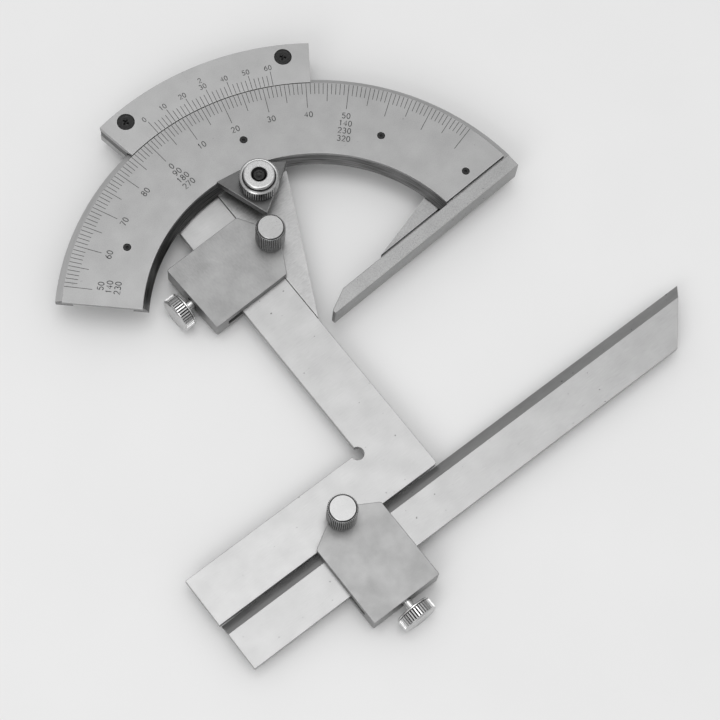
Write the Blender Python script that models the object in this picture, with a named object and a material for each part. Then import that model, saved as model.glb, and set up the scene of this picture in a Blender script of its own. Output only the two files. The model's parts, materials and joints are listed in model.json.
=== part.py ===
"""Universal bevel protractor: a graduated arc with a base rule, a swinging sector with its vernier,
two clamps, a square and a straight rule.

Lengths are in millimetres until a mesh is made, and Z is 0 on the surface that the tool lies on.
Root pieces are drawn about the arc's centre, with +X along the base rule. Sector pieces are drawn
about the same centre, with +Y along the sector's straight edge.
"""

from math import asin, cos, degrees, pi, radians, sin, tan

import bmesh
import bpy
from mathutils import Matrix, Vector

MM = 0.001

# Where the arc's centre stands: the origin is the middle of the whole tool's footprint.
ARC_CENTRE_X = -3.453
ARC_CENTRE_Y = -1.868
SCALE_TOP_Z = 11.66
READING_DEG = 3.5

# Fits, and how finely curves are divided
FIT = 0.15
ARC_STEP_DEG = 3.0
EDGE_BREAK = 0.15

# Graduated arc, heights measured down from the scale's top face
SCALE_INNER_R = 48.2
SCALE_OUTER_R = 70.0
SCALE_THICKNESS = 1.0
SCALE_RIGHT_END = (0.0, 2.95)
SCALE_LEFT_END = (134.0, 2.81)
BODY_INNER_R = 46.75
BODY_RIM_R = 72.06
BODY_SHOULDER_R = 70.1
BODY_BOTTOM = -4.2
BODY_RIM_TOP = -2.04
CHANNEL_INNER_R = 51.0
CHANNEL_OUTER_R = 67.3
CHANNEL_ROOF = -2.2
DECK_TOP = -SCALE_THICKNESS - FIT
BODY_RIGHT_END = (0.0, 2.6)
BODY_LEFT_END = (134.0, 2.01)
PIN_R = 1.05
PIN_BOTTOM = -2.1
PIN_TOP = -0.04
PIN_PLACES = ((56.35, 118.8), (56.35, 71.5), (56.35, 31.8), (58.9, 6.2))

# Base rule and its flange
BASE_LOW_Y = -1.8
BASE_HIGH_Y = 2.33
BASE_TIP_X = 3.16
BASE_END_X = 71.05
BASE_BOTTOM = -7.7
FLANGE_TOP = -4.45
FLANGE_BOTTOM = -7.4
FLANGE_START_X = 25.3
FLANGE_END_X = 70.75
FLANGE_EDGE_DEG = 13.45
FLANGE_EDGE_LENGTH = 45.2
FLANGE_GROOVE_Y = 4.1
FLANGE_GROOVE_Z = -5.9
FLANGE_SCREW_HEAD_R = 1.6
FLANGE_SCREW_R = 1.0
FLANGE_SCREW_PLACES = ((49.0, 7.5), (68.9, 4.6), (68.9, 9.0))

# Tooth rack and pinion
MODULE = 0.8
RING_TEETH = 161
PINION_TEETH = 10
RACK_TEETH = 48
PRESSURE_ANGLE = radians(20.0)
TOOTH_SLACK = 0.15
RACK_BACK_R = 67.0
RACK_LUG_R = 63.4
RACK_LUG_DEG = 4.0
RACK_SCREW_R = 0.8
RACK_SCREW_HEAD_R = 1.35
RACK_TOP = -2.35
RACK_BOTTOM = -3.95
PINION_TOP = -2.5
PINION_BOTTOM = -4.1
PINION_DEG = 71.5
RING_PITCH_R = MODULE * RING_TEETH / 2
PINION_PITCH_R = MODULE * PINION_TEETH / 2
PINION_CENTRE_R = RING_PITCH_R - PINION_PITCH_R

# Sector
SECTOR_BOTTOM = -7.6
BLADE_TOP = -5.6
LAND_TOP = -4.5
LAND_INNER_R = 47.0
CARRIER_INNER_R = 72.36
CARRIER_OUTER_R = 82.6
CARRIER_START_DEG = 54.9
CARRIER_END_DEG = 100.5
SECTOR_EDGE_X = 0.15
SECTOR_TIP_Y = 1.9
SECTOR_SLOPE_X = -0.78
SECTOR_SLOPE = 0.484
SECTOR_SLOPE_END_DEG = 64.1
SECTOR_EDGE_END_DEG = 89.88
VERNIER_INNER_R = 70.2
VERNIER_BOTTOM = -1.75
VERNIER_LIP = -0.65
SEAT_TOP = -1.9
SEAT_BOTTOM = -4.35
VERNIER_SCREW_PLACES = ((78.75, 96.0), (78.75, 60.3))
VERNIER_SCREW_R = 1.25
VERNIER_SCREW_HEAD_R = 2.35
RECESS_HALF_LENGTH = 1.35
RECESS_HALF_WIDTH = 0.3
RECESS_BOTTOM = -0.75
KEY_INNER_R = 51.4
KEY_OUTER_R = 63.2
KEY_TOP = -2.45
KEY_BOTTOM = -4.3
KEY_STARTS_DEG = (78.0, 84.5)
KEY_SPAN_DEG = 4.5
KEY_SCREW_R = 0.85
KEY_SCREW_HEAD_R = 1.55

# Brake
BRAKE_OUTLINE = ((0.5, 48.2), (6.0, 32.4), (19.8, 41.6), (16.4, 43.9), (12.2, 45.85), (7.7, 47.3))
BRAKE_X = 9.6
BRAKE_Y = 40.85
BRAKE_HALF_THICKNESS = 1.4
BRAKE_LIP_R = 47.9
BRAKE_LIP_TOP = 0.3
STUD_R = 1.95
STUD_HEAD_R = 3.1
STUD_HEAD_TOP = -6.85
NUT_BORE_R = 2.25
NUT_R = 5.5
NUT_BOTTOM = 1.6
NUT_SHOULDER = 6.2
NUT_TOP = 7.4
NUT_BOSS_R = 4.35

# Fine adjustment
BUSH_R = 3.0
BUSH_BORE_R = 2.0
BUSH_TOP = -4.5
BUSH_BOTTOM = -7.95
SHAFT_R = 1.7
SHAFT_BOTTOM = -10.1
KNOB_R = 8.0
KNOB_TOP = -8.2
KNOB_RECESS_R = 2.9
KNOB_RECESS_TOP = -10.2
KNOB_SCREW_R = 0.8
KNOB_SCREW_HEAD_R = 2.6

# Clamps: x runs from the web to the point, y across, from the middle of the web's outer face
CLAMP_HALF_WIDTH = 10.8
CLAMP_SHOULDER_X = 24.6
CLAMP_POINT_DEG = 30.0
CLAMP_NOSE_R = 3.0
CLAMP_TOP = -3.3
CLAMP_BOTTOM = -9.6
SLOT_TOP = -5.3
SLOT_BOTTOM = -7.9
WEB_THICKNESS = 4.0
TOP_SCREW_X = 27.7
TOP_SCREW_R = 4.1
TOP_SCREW_TOP = 4.9
SCREW_SHAFT_R = 1.45
SCREW_TIP_R = 1.0
THREAD_HOLE_R = 1.75
WHEEL_R = 5.1
WHEEL_Z = -6.6
WHEEL_GAP = 2.4
WHEEL_THICKNESS = 3.8
PAD_BACK_X = 5.6
PAD_FRONT_X = 8.8
PAD_HALF_WIDTH = 5.0

CLAMP_1_PLACE = (-24.4, 26.15, 2.5)
CLAMP_2_PLACE = (-29.8, -74.35, 90.0)
PAD_1_SHIFT = 0.0
PAD_2_SHIFT = 0.65

# Square, its outer corner under the arc's centre line
SQUARE_WIDTH = 15.0
SQUARE_CORNER_Y = -50.0
SQUARE_TOP_Y = 50.0
SQUARE_END_X = -72.2
SQUARE_INNER_Y = -35.2
SQUARE_RELIEF_R = 1.8
SQUARE_CORNER_R = 0.8

# Straight rule
RULE_EDGE_Y = SQUARE_CORNER_Y - 0.2
RULE_BEVEL_Y = -53.3
RULE_BACK_Y = -64.5
RULE_LEFT_X = -71.8
RULE_RIGHT_X = 85.8
RULE_END_DEG = 48.0
RULE_EDGE_HEIGHT = 0.25


def steel(name, colour, roughness, metallic=1.0):
    """A Principled material."""
    made = bpy.data.materials.new(name)
    made.use_nodes = True
    shader = made.node_tree.nodes["Principled BSDF"]
    shader.inputs["Base Color"].default_value = (*colour, 1.0)
    shader.inputs["Roughness"].default_value = roughness
    shader.inputs["Metallic"].default_value = metallic
    made.diffuse_color = (*colour, 1.0)
    return made


def empty(name, place, turn_deg=0.0, parent=None):
    made = bpy.data.objects.new(name, None)
    bpy.context.scene.collection.objects.link(made)
    made.parent = parent
    made.location = Vector(place) * MM
    made.rotation_euler.z = radians(turn_deg)
    return made


def solid(name, shape, parent, material=None, place=(0.0, 0.0, 0.0)):
    """An object from a bmesh drawn in millimetres."""
    bmesh.ops.recalc_face_normals(shape, faces=shape.faces)
    bmesh.ops.scale(shape, vec=(MM, MM, MM), verts=shape.verts)
    mesh = bpy.data.meshes.new(name)
    shape.to_mesh(mesh)
    shape.free()
    mesh.shade_smooth()
    mesh.set_sharp_from_angle(angle=radians(30.0))
    made = bpy.data.objects.new(name, mesh)
    bpy.context.scene.collection.objects.link(made)
    made.parent = parent
    made.location = Vector(place) * MM
    if material:
        mesh.materials.append(material)
    return made


def polar(radius, angle_deg):
    return (radius * cos(radians(angle_deg)), radius * sin(radians(angle_deg)))


def arc_points(radius, start_deg, end_deg, centre=(0.0, 0.0), step_deg=ARC_STEP_DEG):
    """Points along an arc, with both of its ends."""
    count = max(1, round(abs(end_deg - start_deg) / step_deg))
    turns = [start_deg + (end_deg - start_deg) * i / count for i in range(count + 1)]
    return [(centre[0] + x, centre[1] + y) for x, y in (polar(radius, turn) for turn in turns)]


def plate(outline, bottom, top):
    """An outline of (x, y) points, extruded from bottom to top."""
    shape = bmesh.new()
    face = shape.faces.new([shape.verts.new((x, y, bottom)) for x, y in outline])
    made = bmesh.ops.extrude_face_region(shape, geom=[face])["geom"]
    raised = [item for item in made if isinstance(item, bmesh.types.BMVert)]
    bmesh.ops.translate(shape, vec=(0.0, 0.0, top - bottom), verts=raised)
    return shape


def turned(profile, segments=24, centre=(0.0, 0.0)):
    """A solid turned about Z from (radius, height) points. A profile that starts and ends at
    radius 0 is a full solid, and any other is a ring."""
    shape = bmesh.new()
    add_turned(shape, profile, segments, centre)
    return shape


def add_turned(shape, profile, segments=24, centre=(0.0, 0.0)):
    """The first flat side faces -Y."""
    rings = []
    for radius, height in profile:
        if radius == 0.0:
            rings.append([shape.verts.new((*centre, height))] * segments)
            continue
        turns = [360.0 * (i + 0.5) / segments - 90.0 for i in range(segments)]
        ring = [polar(radius, turn) for turn in turns]
        rings.append([shape.verts.new((centre[0] + x, centre[1] + y, height)) for x, y in ring])
    whole = profile[0][0] == 0.0
    pairs = list(zip(rings, rings[1:] if whole else rings[1:] + rings[:1]))
    for lower, upper in pairs:
        for i in range(segments):
            after = (i + 1) % segments
            corners = [lower[i], lower[after], upper[after], upper[i]]
            shape.faces.new(list(dict.fromkeys(corners)))


def end_angle(end, radius):
    """Where a straight end, parallel to a radius and beside it, meets a circle, in degrees."""
    direction, offset = end
    return direction + degrees(asin(offset / radius))


def swept(profile, start, end, step_deg=ARC_STEP_DEG):
    """A (radius, height) profile carried round the centre between two straight ends."""
    shape = bmesh.new()
    count = max(1, round((end[0] - start[0]) / step_deg))
    sections = []
    for i in range(count + 1):
        section = []
        for radius, height in profile:
            first = end_angle(start, radius)
            last = end_angle(end, radius)
            x, y = polar(radius, first + (last - first) * i / count)
            section.append(shape.verts.new((x, y, height)))
        sections.append(section)
    shape.faces.new(sections[0])
    shape.faces.new(sections[-1])
    for near, far in zip(sections, sections[1:]):
        for j in range(len(profile)):
            after = (j + 1) % len(profile)
            shape.faces.new((near[j], near[after], far[after], far[j]))
    return shape


def strip(inner_r, outer_r, bottom, top, edge=EDGE_BREAK):
    """The section of a flat curved strip whose upper corners are broken."""
    return [
        (inner_r, bottom),
        (inner_r, top - edge),
        (inner_r + edge, top),
        (outer_r - edge, top),
        (outer_r, top - edge),
        (outer_r, bottom),
    ]


def cut(target, shape):
    """Takes a shape, drawn in the target's own frame, out of it."""
    cutter = solid(f"{target.name}_cutter", shape, target)
    cutter.hide_render = True
    cutter.display_type = "WIRE"
    boolean = target.modifiers.new("Cut", "BOOLEAN")
    boolean.operation = "DIFFERENCE"
    boolean.object = cutter


def join(target, shape):
    """Adds a shape, drawn in the target's own frame, to it."""
    cut(target, shape)
    target.modifiers[-1].operation = "UNION"


def drill(target, holes, segments=16):
    """Takes turned holes out of a target: each is ((x, y), profile)."""
    shape = bmesh.new()
    for centre, profile in holes:
        add_turned(shape, profile, segments, centre)
    cut(target, shape)


def round_hole(radius, bottom, top):
    return [(0.0, bottom), (radius, bottom), (radius, top), (0.0, top)]


def stepped(head_r, shank_r, bottom, step, top):
    """The profile of a screw or stud whose head is underneath, or of a hole for one."""
    return [(0.0, bottom), (head_r, bottom), (head_r, step), (shank_r, step), (shank_r, top), (0.0, top)]


def countersunk(head_r, shank_r, bottom, rim, neck, top):
    """The same with a conical head, which narrows from its rim to the neck."""
    return [(0.0, bottom), (head_r, bottom), (head_r, rim), (shank_r, neck), (shank_r, top), (0.0, top)]


def break_edges(target, width=EDGE_BREAK):
    bevel = target.modifiers.new("Edges", "BEVEL")
    bevel.width = width * MM
    bevel.segments = 1
    bevel.limit_method = "ANGLE"
    bevel.angle_limit = radians(30.0)


def box(low, high):
    outline = [(low[0], low[1]), (high[0], low[1]), (high[0], high[1]), (low[0], high[1])]
    return plate(outline, low[2], high[2])


# ---------------------------------------------------------------- graduated arc


def make_arc_body(parent, material):
    profile = [
        (BODY_INNER_R, BODY_BOTTOM),
        (SCALE_INNER_R + 0.1, DECK_TOP),
        (BODY_SHOULDER_R, DECK_TOP),
        (BODY_RIM_R, BODY_RIM_TOP),
        (BODY_RIM_R, BODY_BOTTOM),
        (CHANNEL_OUTER_R, BODY_BOTTOM),
        (CHANNEL_OUTER_R, CHANNEL_ROOF),
        (CHANNEL_INNER_R, CHANNEL_ROOF),
        (CHANNEL_INNER_R, BODY_BOTTOM),
    ]
    body = solid("arc_body", swept(profile, BODY_RIGHT_END, BODY_LEFT_END), parent, material)
    pin_hole = round_hole(PIN_R + FIT, CHANNEL_ROOF - 1.0, DECK_TOP + 1.0)
    thread = round_hole(FLANGE_SCREW_R + FIT, BODY_BOTTOM - 1.0, -2.05)
    small_thread = round_hole(RACK_SCREW_R + FIT, CHANNEL_ROOF - 1.0, -1.55)
    holes = [(polar(*place), pin_hole) for place in PIN_PLACES]
    holes += [(polar(*place), thread) for place in FLANGE_SCREW_PLACES]
    holes += [(polar(*place), small_thread) for place in rack_screw_places()]
    drill(body, holes)


def make_scale_plate(parent, material):
    profile = strip(SCALE_INNER_R, SCALE_OUTER_R, -SCALE_THICKNESS, 0.0)
    scale = solid("scale_plate", swept(profile, SCALE_RIGHT_END, SCALE_LEFT_END), parent, material)
    hole = round_hole(PIN_R + FIT, -SCALE_THICKNESS - 1.0, 1.0)
    drill(scale, [(polar(*place), hole) for place in PIN_PLACES])


def make_scale_pins(parent, material):
    profile = [
        (0.0, PIN_BOTTOM),
        (PIN_R, PIN_BOTTOM),
        (PIN_R, PIN_TOP - 0.12),
        (PIN_R - 0.12, PIN_TOP),
        (0.0, PIN_TOP),
    ]
    for number, place in enumerate(PIN_PLACES, 1):
        x, y = polar(*place)
        solid(f"scale_pin_{number}", turned(profile, 16), parent, material, (x, y, 0.0))


def flange_outline():
    """From the bar out along the flange's free edge and round under the arc's end."""
    reach_x, reach_y = polar(FLANGE_EDGE_LENGTH, FLANGE_EDGE_DEG)
    inside_y = BASE_HIGH_Y - 1.0
    return [
        (FLANGE_START_X - 3.0, inside_y),
        (FLANGE_START_X, FLANGE_GROOVE_Y),
        (FLANGE_START_X + reach_x, FLANGE_GROOVE_Y + reach_y),
        (FLANGE_END_X, 10.0),
        (FLANGE_END_X, inside_y),
    ]


def make_base_rule(parent, material):
    outline = [
        (BASE_TIP_X, BASE_LOW_Y),
        (BASE_END_X, BASE_LOW_Y),
        (BASE_END_X, BASE_HIGH_Y),
        (BASE_TIP_X + 6.3, BASE_HIGH_Y),
        (BASE_TIP_X, -0.69),
    ]
    rule = solid("base_rule", plate(outline, BASE_BOTTOM, 0.0), parent, material)
    break_edges(rule)
    join(rule, plate(flange_outline(), FLANGE_BOTTOM, FLANGE_TOP))
    cut(rule, box((20.0, BASE_HIGH_Y, FLANGE_GROOVE_Z), (90.0, FLANGE_GROOVE_Y, 1.0)))
    head_r = FLANGE_SCREW_HEAD_R + FIT
    shank_r = FLANGE_SCREW_R + FIT
    hole = countersunk(head_r, shank_r, FLANGE_BOTTOM - 1.0, -7.3, -6.3, FLANGE_TOP + 1.0)
    drill(rule, [(polar(*place), hole) for place in FLANGE_SCREW_PLACES])


def make_base_rule_screws(parent, material):
    profile = countersunk(FLANGE_SCREW_HEAD_R, FLANGE_SCREW_R, -7.35, -7.15, -6.2, -2.3)
    for number, place in enumerate(FLANGE_SCREW_PLACES, 1):
        x, y = polar(*place)
        name = f"base_rule_screw_{number}"
        screw = solid(name, turned(profile, 16), parent, material, (x, y, 0.0))
        cut(screw, box((-3.0, -0.25, -9.0), (3.0, 0.25, -6.95)))


# ---------------------------------------------------------------- rack and pinion


def rack_middle_deg():
    """The pinion's direction at rest, on the arc's frame: a gap of the rack faces it."""
    return PINION_DEG - READING_DEG


def rack_screw_places():
    half = 180.0 / RING_TEETH * RACK_TEETH + RACK_LUG_DEG / 2
    middle_r = (RACK_LUG_R + RACK_BACK_R) / 2
    return [(middle_r, rack_middle_deg() - half), (middle_r, rack_middle_deg() + half)]


def tooth_half_widths(tip, root):
    """Half a tooth's width at its tip and at its root, for straight flanks."""
    at_pitch = pi * MODULE / 4 - TOOTH_SLACK
    return at_pitch - tip * tan(PRESSURE_ANGLE), at_pitch + root * tan(PRESSURE_ANGLE)


def make_rack(parent, material):
    tip_r = RING_PITCH_R - MODULE
    root_r = RING_PITCH_R + 1.25 * MODULE
    tip_half, root_half = tooth_half_widths(MODULE, 1.25 * MODULE)
    pitch_deg = 360.0 / RING_TEETH
    start = rack_middle_deg() - pitch_deg * RACK_TEETH / 2
    end = start + pitch_deg * RACK_TEETH
    outline = [polar(RACK_LUG_R, start - RACK_LUG_DEG), polar(RACK_LUG_R, start)]
    tooth = ((root_r, -root_half), (tip_r, -tip_half), (tip_r, tip_half), (root_r, root_half))
    for i in range(RACK_TEETH):
        middle = start + pitch_deg * (i + 0.5)
        outline += [polar(radius, middle + degrees(half / radius)) for radius, half in tooth]
    outline += [polar(RACK_LUG_R, end), polar(RACK_LUG_R, end + RACK_LUG_DEG)]
    outline += arc_points(RACK_BACK_R, end + RACK_LUG_DEG, start - RACK_LUG_DEG)
    rack = solid("rack_strip", plate(outline, RACK_BOTTOM, RACK_TOP), parent, material)
    hole = stepped(RACK_SCREW_HEAD_R + FIT, RACK_SCREW_R + FIT, RACK_BOTTOM - 1.0, -3.25, RACK_TOP + 1.0)
    drill(rack, [(polar(*place), hole) for place in rack_screw_places()])


def make_rack_screws(parent, material):
    profile = stepped(RACK_SCREW_HEAD_R, RACK_SCREW_R, -3.9, -3.4, -1.65)
    for number, place in enumerate(rack_screw_places(), 1):
        x, y = polar(*place)
        solid(f"rack_screw_{number}", turned(profile, 12), parent, material, (x, y, 0.0))


def make_pinion(parent, material):
    tip_r = PINION_PITCH_R + MODULE
    root_r = PINION_PITCH_R - 1.25 * MODULE
    tip_half, root_half = tooth_half_widths(MODULE, MODULE)
    tooth = ((root_r, -root_half), (tip_r, -tip_half), (tip_r, tip_half), (root_r, root_half))
    outline = []
    for i in range(PINION_TEETH):
        middle = PINION_DEG + 360.0 / PINION_TEETH * i
        outline += [polar(radius, middle + degrees(half / radius)) for radius, half in tooth]
    place = (*polar(PINION_CENTRE_R, PINION_DEG), 0.0)
    pinion = solid("pinion", plate(outline, PINION_BOTTOM, PINION_TOP), parent, material, place)
    join(pinion, turned(round_hole(SHAFT_R, SHAFT_BOTTOM, PINION_BOTTOM + 0.8), 20))
    drill(pinion, [((0.0, 0.0), round_hole(KNOB_SCREW_R + FIT, SHAFT_BOTTOM - 1.0, -8.6))], 12)


def make_fine_adjust_knob(parent, material):
    bottom = -SCALE_TOP_Z
    profile = [
        (KNOB_RECESS_R, bottom),
        (KNOB_R - 0.5, bottom),
        (KNOB_R, bottom + 0.5),
        (KNOB_R, KNOB_TOP - 0.5),
        (KNOB_R - 0.5, KNOB_TOP),
        (SHAFT_R + FIT, KNOB_TOP),
        (SHAFT_R + FIT, KNOB_RECESS_TOP),
        (KNOB_RECESS_R, KNOB_RECESS_TOP),
    ]
    place = (*polar(PINION_CENTRE_R, PINION_DEG), 0.0)
    solid("fine_adjust_knob", turned(profile, 32), parent, material, place)


def make_knob_screw(parent, material):
    profile = stepped(KNOB_SCREW_HEAD_R, KNOB_SCREW_R, -11.4, KNOB_RECESS_TOP - 0.2, -8.8)
    place = (*polar(PINION_CENTRE_R, PINION_DEG), 0.0)
    screw = solid("knob_screw", turned(profile, 20), parent, material, place)
    cut(screw, box((-4.0, -0.35, -12.0), (4.0, 0.35, -10.95)))


# ---------------------------------------------------------------- sector


def sector_edge(height):
    """The sloping edge's x at a given y."""
    return SECTOR_SLOPE_X + SECTOR_SLOPE * height


def make_sector_plate(parent, material):
    foot_y = SECTOR_TIP_Y + 0.3
    outline = [(SECTOR_EDGE_X, SECTOR_TIP_Y), (sector_edge(foot_y), foot_y)]
    outline += arc_points(CARRIER_INNER_R, SECTOR_SLOPE_END_DEG, CARRIER_START_DEG)
    outline += arc_points(CARRIER_OUTER_R, CARRIER_START_DEG, CARRIER_END_DEG)
    outline += arc_points(CARRIER_INNER_R, CARRIER_END_DEG, SECTOR_EDGE_END_DEG)
    sector = solid("sector_plate", plate(outline, SECTOR_BOTTOM, LAND_TOP), parent, material)
    cut(sector, turned(round_hole(LAND_INNER_R, BLADE_TOP, 0.0), 120))
    break_edges(sector, 0.12)
    below = SECTOR_BOTTOM - 1.0
    above = LAND_TOP + 1.0
    bush_hole = round_hole(BUSH_R + FIT, below, above)
    stud_hole = stepped(STUD_HEAD_R + FIT, STUD_R + FIT, below, STUD_HEAD_TOP + FIT, above)
    key_hole = stepped(KEY_SCREW_HEAD_R + FIT, KEY_SCREW_R + FIT, below, -6.6, above)
    vernier_hole = round_hole(VERNIER_SCREW_R + FIT, below, above)
    holes = [(polar(PINION_CENTRE_R, PINION_DEG), bush_hole), ((BRAKE_X, BRAKE_Y), stud_hole)]
    holes += [(polar(*place), key_hole) for place in key_screw_places()]
    holes += [(polar(*place), vernier_hole) for place in VERNIER_SCREW_PLACES]
    drill(sector, holes)


def make_vernier_seat(parent, material):
    profile = [
        (CARRIER_INNER_R + 0.04, SEAT_BOTTOM),
        (CARRIER_INNER_R + 0.04, SEAT_TOP),
        (CARRIER_OUTER_R - 0.2, SEAT_TOP),
        (CARRIER_OUTER_R - 0.2, SEAT_BOTTOM),
    ]
    shape = swept(profile, (CARRIER_START_DEG, 0.0), (CARRIER_END_DEG, 0.0))
    seat = solid("vernier_seat", shape, parent, material)
    hole = round_hole(VERNIER_SCREW_R + FIT, SEAT_BOTTOM - 1.0, SEAT_TOP + 1.0)
    drill(seat, [(polar(*place), hole) for place in VERNIER_SCREW_PLACES])


def make_vernier_plate(parent, material):
    profile = [
        (VERNIER_INNER_R, VERNIER_LIP),
        (VERNIER_INNER_R, 0.0),
        (CARRIER_OUTER_R - EDGE_BREAK, 0.0),
        (CARRIER_OUTER_R, -EDGE_BREAK),
        (CARRIER_OUTER_R, VERNIER_BOTTOM),
        (CARRIER_INNER_R + 0.3, VERNIER_BOTTOM),
    ]
    shape = swept(profile, (CARRIER_START_DEG, 0.0), (CARRIER_END_DEG, 0.0))
    vernier = solid("vernier_plate", shape, parent, material)
    head_r = VERNIER_SCREW_HEAD_R + FIT
    shank_r = VERNIER_SCREW_R + FIT
    hole = [(0.0, -3.0), (shank_r, -3.0), (shank_r, -1.25), (head_r, -0.25), (head_r, 1.0), (0.0, 1.0)]
    drill(vernier, [(polar(*place), hole) for place in VERNIER_SCREW_PLACES], 24)


def make_vernier_screws(parent, material):
    profile = [
        (0.0, -7.2),
        (VERNIER_SCREW_R, -7.2),
        (VERNIER_SCREW_R, -1.25),
        (VERNIER_SCREW_HEAD_R, -0.2),
        (VERNIER_SCREW_HEAD_R, -0.06),
        (VERNIER_SCREW_HEAD_R - 0.15, 0.05),
        (0.0, 0.05),
    ]
    long = RECESS_HALF_LENGTH
    wide = RECESS_HALF_WIDTH
    for number, place in enumerate(VERNIER_SCREW_PLACES, 1):
        x, y = polar(*place)
        screw = solid(f"vernier_screw_{number}", turned(profile, 24), parent, material, (x, y, 0.0))
        cut(screw, box((-long, -wide, RECESS_BOTTOM), (long, wide, 1.0)))
        cut(screw, box((-wide, -long, RECESS_BOTTOM), (wide, long, 1.0)))


def key_screw_places():
    return [((KEY_INNER_R + KEY_OUTER_R) / 2, start + KEY_SPAN_DEG / 2) for start in KEY_STARTS_DEG]


def make_guide_keys(parent, material):
    profile = [
        (KEY_INNER_R, KEY_BOTTOM),
        (KEY_INNER_R, KEY_TOP),
        (KEY_OUTER_R, KEY_TOP),
        (KEY_OUTER_R, KEY_BOTTOM),
    ]
    for number, start in enumerate(KEY_STARTS_DEG, 1):
        shape = swept(profile, (start, 0.0), (start + KEY_SPAN_DEG, 0.0), KEY_SPAN_DEG / 2)
        key = solid(f"guide_key_{number}", shape, parent, material)
        hole = round_hole(KEY_SCREW_R + FIT, KEY_BOTTOM - 1.0, KEY_TOP - 0.45)
        drill(key, [(polar(*key_screw_places()[number - 1]), hole)], 12)


def make_guide_key_screws(parent, material):
    profile = stepped(KEY_SCREW_HEAD_R, KEY_SCREW_R, SECTOR_BOTTOM + 0.1, -6.8, -3.1)
    for number, place in enumerate(key_screw_places(), 1):
        x, y = polar(*place)
        solid(f"guide_key_screw_{number}", turned(profile, 12), parent, material, (x, y, 0.0))


def make_pinion_bush(parent, material):
    profile = [
        (BUSH_BORE_R, BUSH_BOTTOM),
        (BUSH_R, BUSH_BOTTOM),
        (BUSH_R, BUSH_TOP),
        (BUSH_BORE_R, BUSH_TOP),
    ]
    place = (*polar(PINION_CENTRE_R, PINION_DEG), 0.0)
    solid("pinion_bush", turned(profile, 24), parent, material, place)


# ---------------------------------------------------------------- brake


def make_brake_plate(parent, material):
    shape = plate(BRAKE_OUTLINE, -BRAKE_HALF_THICKNESS, BRAKE_HALF_THICKNESS)
    brake = solid("brake_plate", shape, parent, material)
    break_edges(brake, 0.25)
    lip = [(BRAKE_LIP_R, -3.0), (60.0, -3.0), (60.0, BRAKE_LIP_TOP), (BRAKE_LIP_R, BRAKE_LIP_TOP)]
    cut(brake, swept(lip, (60.0, 0.0), (100.0, 0.0), 2.0))
    drill(brake, [((BRAKE_X, BRAKE_Y), round_hole(STUD_R + FIT, -3.0, 3.0))], 24)


def make_brake_stud(parent, material):
    profile = [
        (0.0, SECTOR_BOTTOM + 0.1),
        (STUD_HEAD_R, SECTOR_BOTTOM + 0.1),
        (STUD_HEAD_R, STUD_HEAD_TOP),
        (STUD_R, STUD_HEAD_TOP),
        (STUD_R, 4.8),
        (STUD_R - 0.3, 5.1),
        (0.0, 5.1),
    ]
    solid("brake_stud", turned(profile), parent, material, (BRAKE_X, BRAKE_Y, 0.0))


def make_brake_end_screw(parent, material):
    profile = [
        (0.0, 5.35),
        (1.7, 5.35),
        (1.95, 5.6),
        (1.95, 6.7),
        (1.75, 6.9),
        (0.8, 6.9),
        (0.8, 6.2),
        (0.0, 6.2),
    ]
    solid("brake_end_screw", turned(profile), parent, material, (BRAKE_X, BRAKE_Y, 0.0))


def make_brake_nut(parent, material):
    profile = [
        (NUT_BORE_R, NUT_BOTTOM),
        (NUT_R - 0.4, NUT_BOTTOM),
        (NUT_R, NUT_BOTTOM + 0.4),
        (NUT_R, NUT_SHOULDER - 0.5),
        (NUT_R - 0.5, NUT_SHOULDER),
        (NUT_BOSS_R, NUT_SHOULDER),
        (NUT_BOSS_R, NUT_TOP - 0.3),
        (NUT_BOSS_R - 0.3, NUT_TOP),
        (NUT_BORE_R + 1.05, NUT_TOP),
        (NUT_BORE_R, NUT_TOP - 1.0),
    ]
    solid("brake_nut", turned(profile, 32), parent, material, (BRAKE_X, BRAKE_Y, 0.0))


# ---------------------------------------------------------------- clamps


def clamp_outline():
    """A rectangle with a blunt point whose tip is rounded about the top screw."""
    slope = radians(CLAMP_POINT_DEG)
    outline = [(0.0, -CLAMP_HALF_WIDTH), (CLAMP_SHOULDER_X, -CLAMP_HALF_WIDTH)]
    nose_x = CLAMP_SHOULDER_X + CLAMP_HALF_WIDTH * tan(slope) - CLAMP_NOSE_R / cos(slope)
    outline += arc_points(CLAMP_NOSE_R, -CLAMP_POINT_DEG, CLAMP_POINT_DEG, (nose_x, 0.0), 15.0)
    outline += [(CLAMP_SHOULDER_X, CLAMP_HALF_WIDTH), (0.0, CLAMP_HALF_WIDTH)]
    return outline


def along_x(shape, height):
    """Lays a shape turned about Z down along +X, at a height."""
    turn = Matrix.Translation((0.0, 0.0, height)) @ Matrix.Rotation(radians(90.0), 4, "Y")
    bmesh.ops.transform(shape, matrix=turn, verts=shape.verts)
    return shape


def make_clamp_block(number, parent, material):
    shape = plate(clamp_outline(), CLAMP_BOTTOM, CLAMP_TOP)
    block = solid(f"clamp_block_{number}", shape, parent, material)
    break_edges(block, 0.2)
    cut(block, box((WEB_THICKNESS, -20.0, SLOT_BOTTOM), (60.0, 20.0, SLOT_TOP)))
    drill(block, [((TOP_SCREW_X, 0.0), round_hole(THREAD_HOLE_R, -6.0, 0.0))])
    cut(block, along_x(turned(round_hole(THREAD_HOLE_R, -2.0, 5.0), 16), WHEEL_Z))


def make_clamp_pad(number, parent, material, shift):
    low = (PAD_BACK_X, -PAD_HALF_WIDTH, SECTOR_BOTTOM + 0.05)
    high = (PAD_FRONT_X, PAD_HALF_WIDTH, BLADE_TOP - 0.05)
    pad = solid(f"clamp_pad_{number}", box(low, high), parent, material, (shift, 0.0, 0.0))
    break_edges(pad, 0.2)


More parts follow.
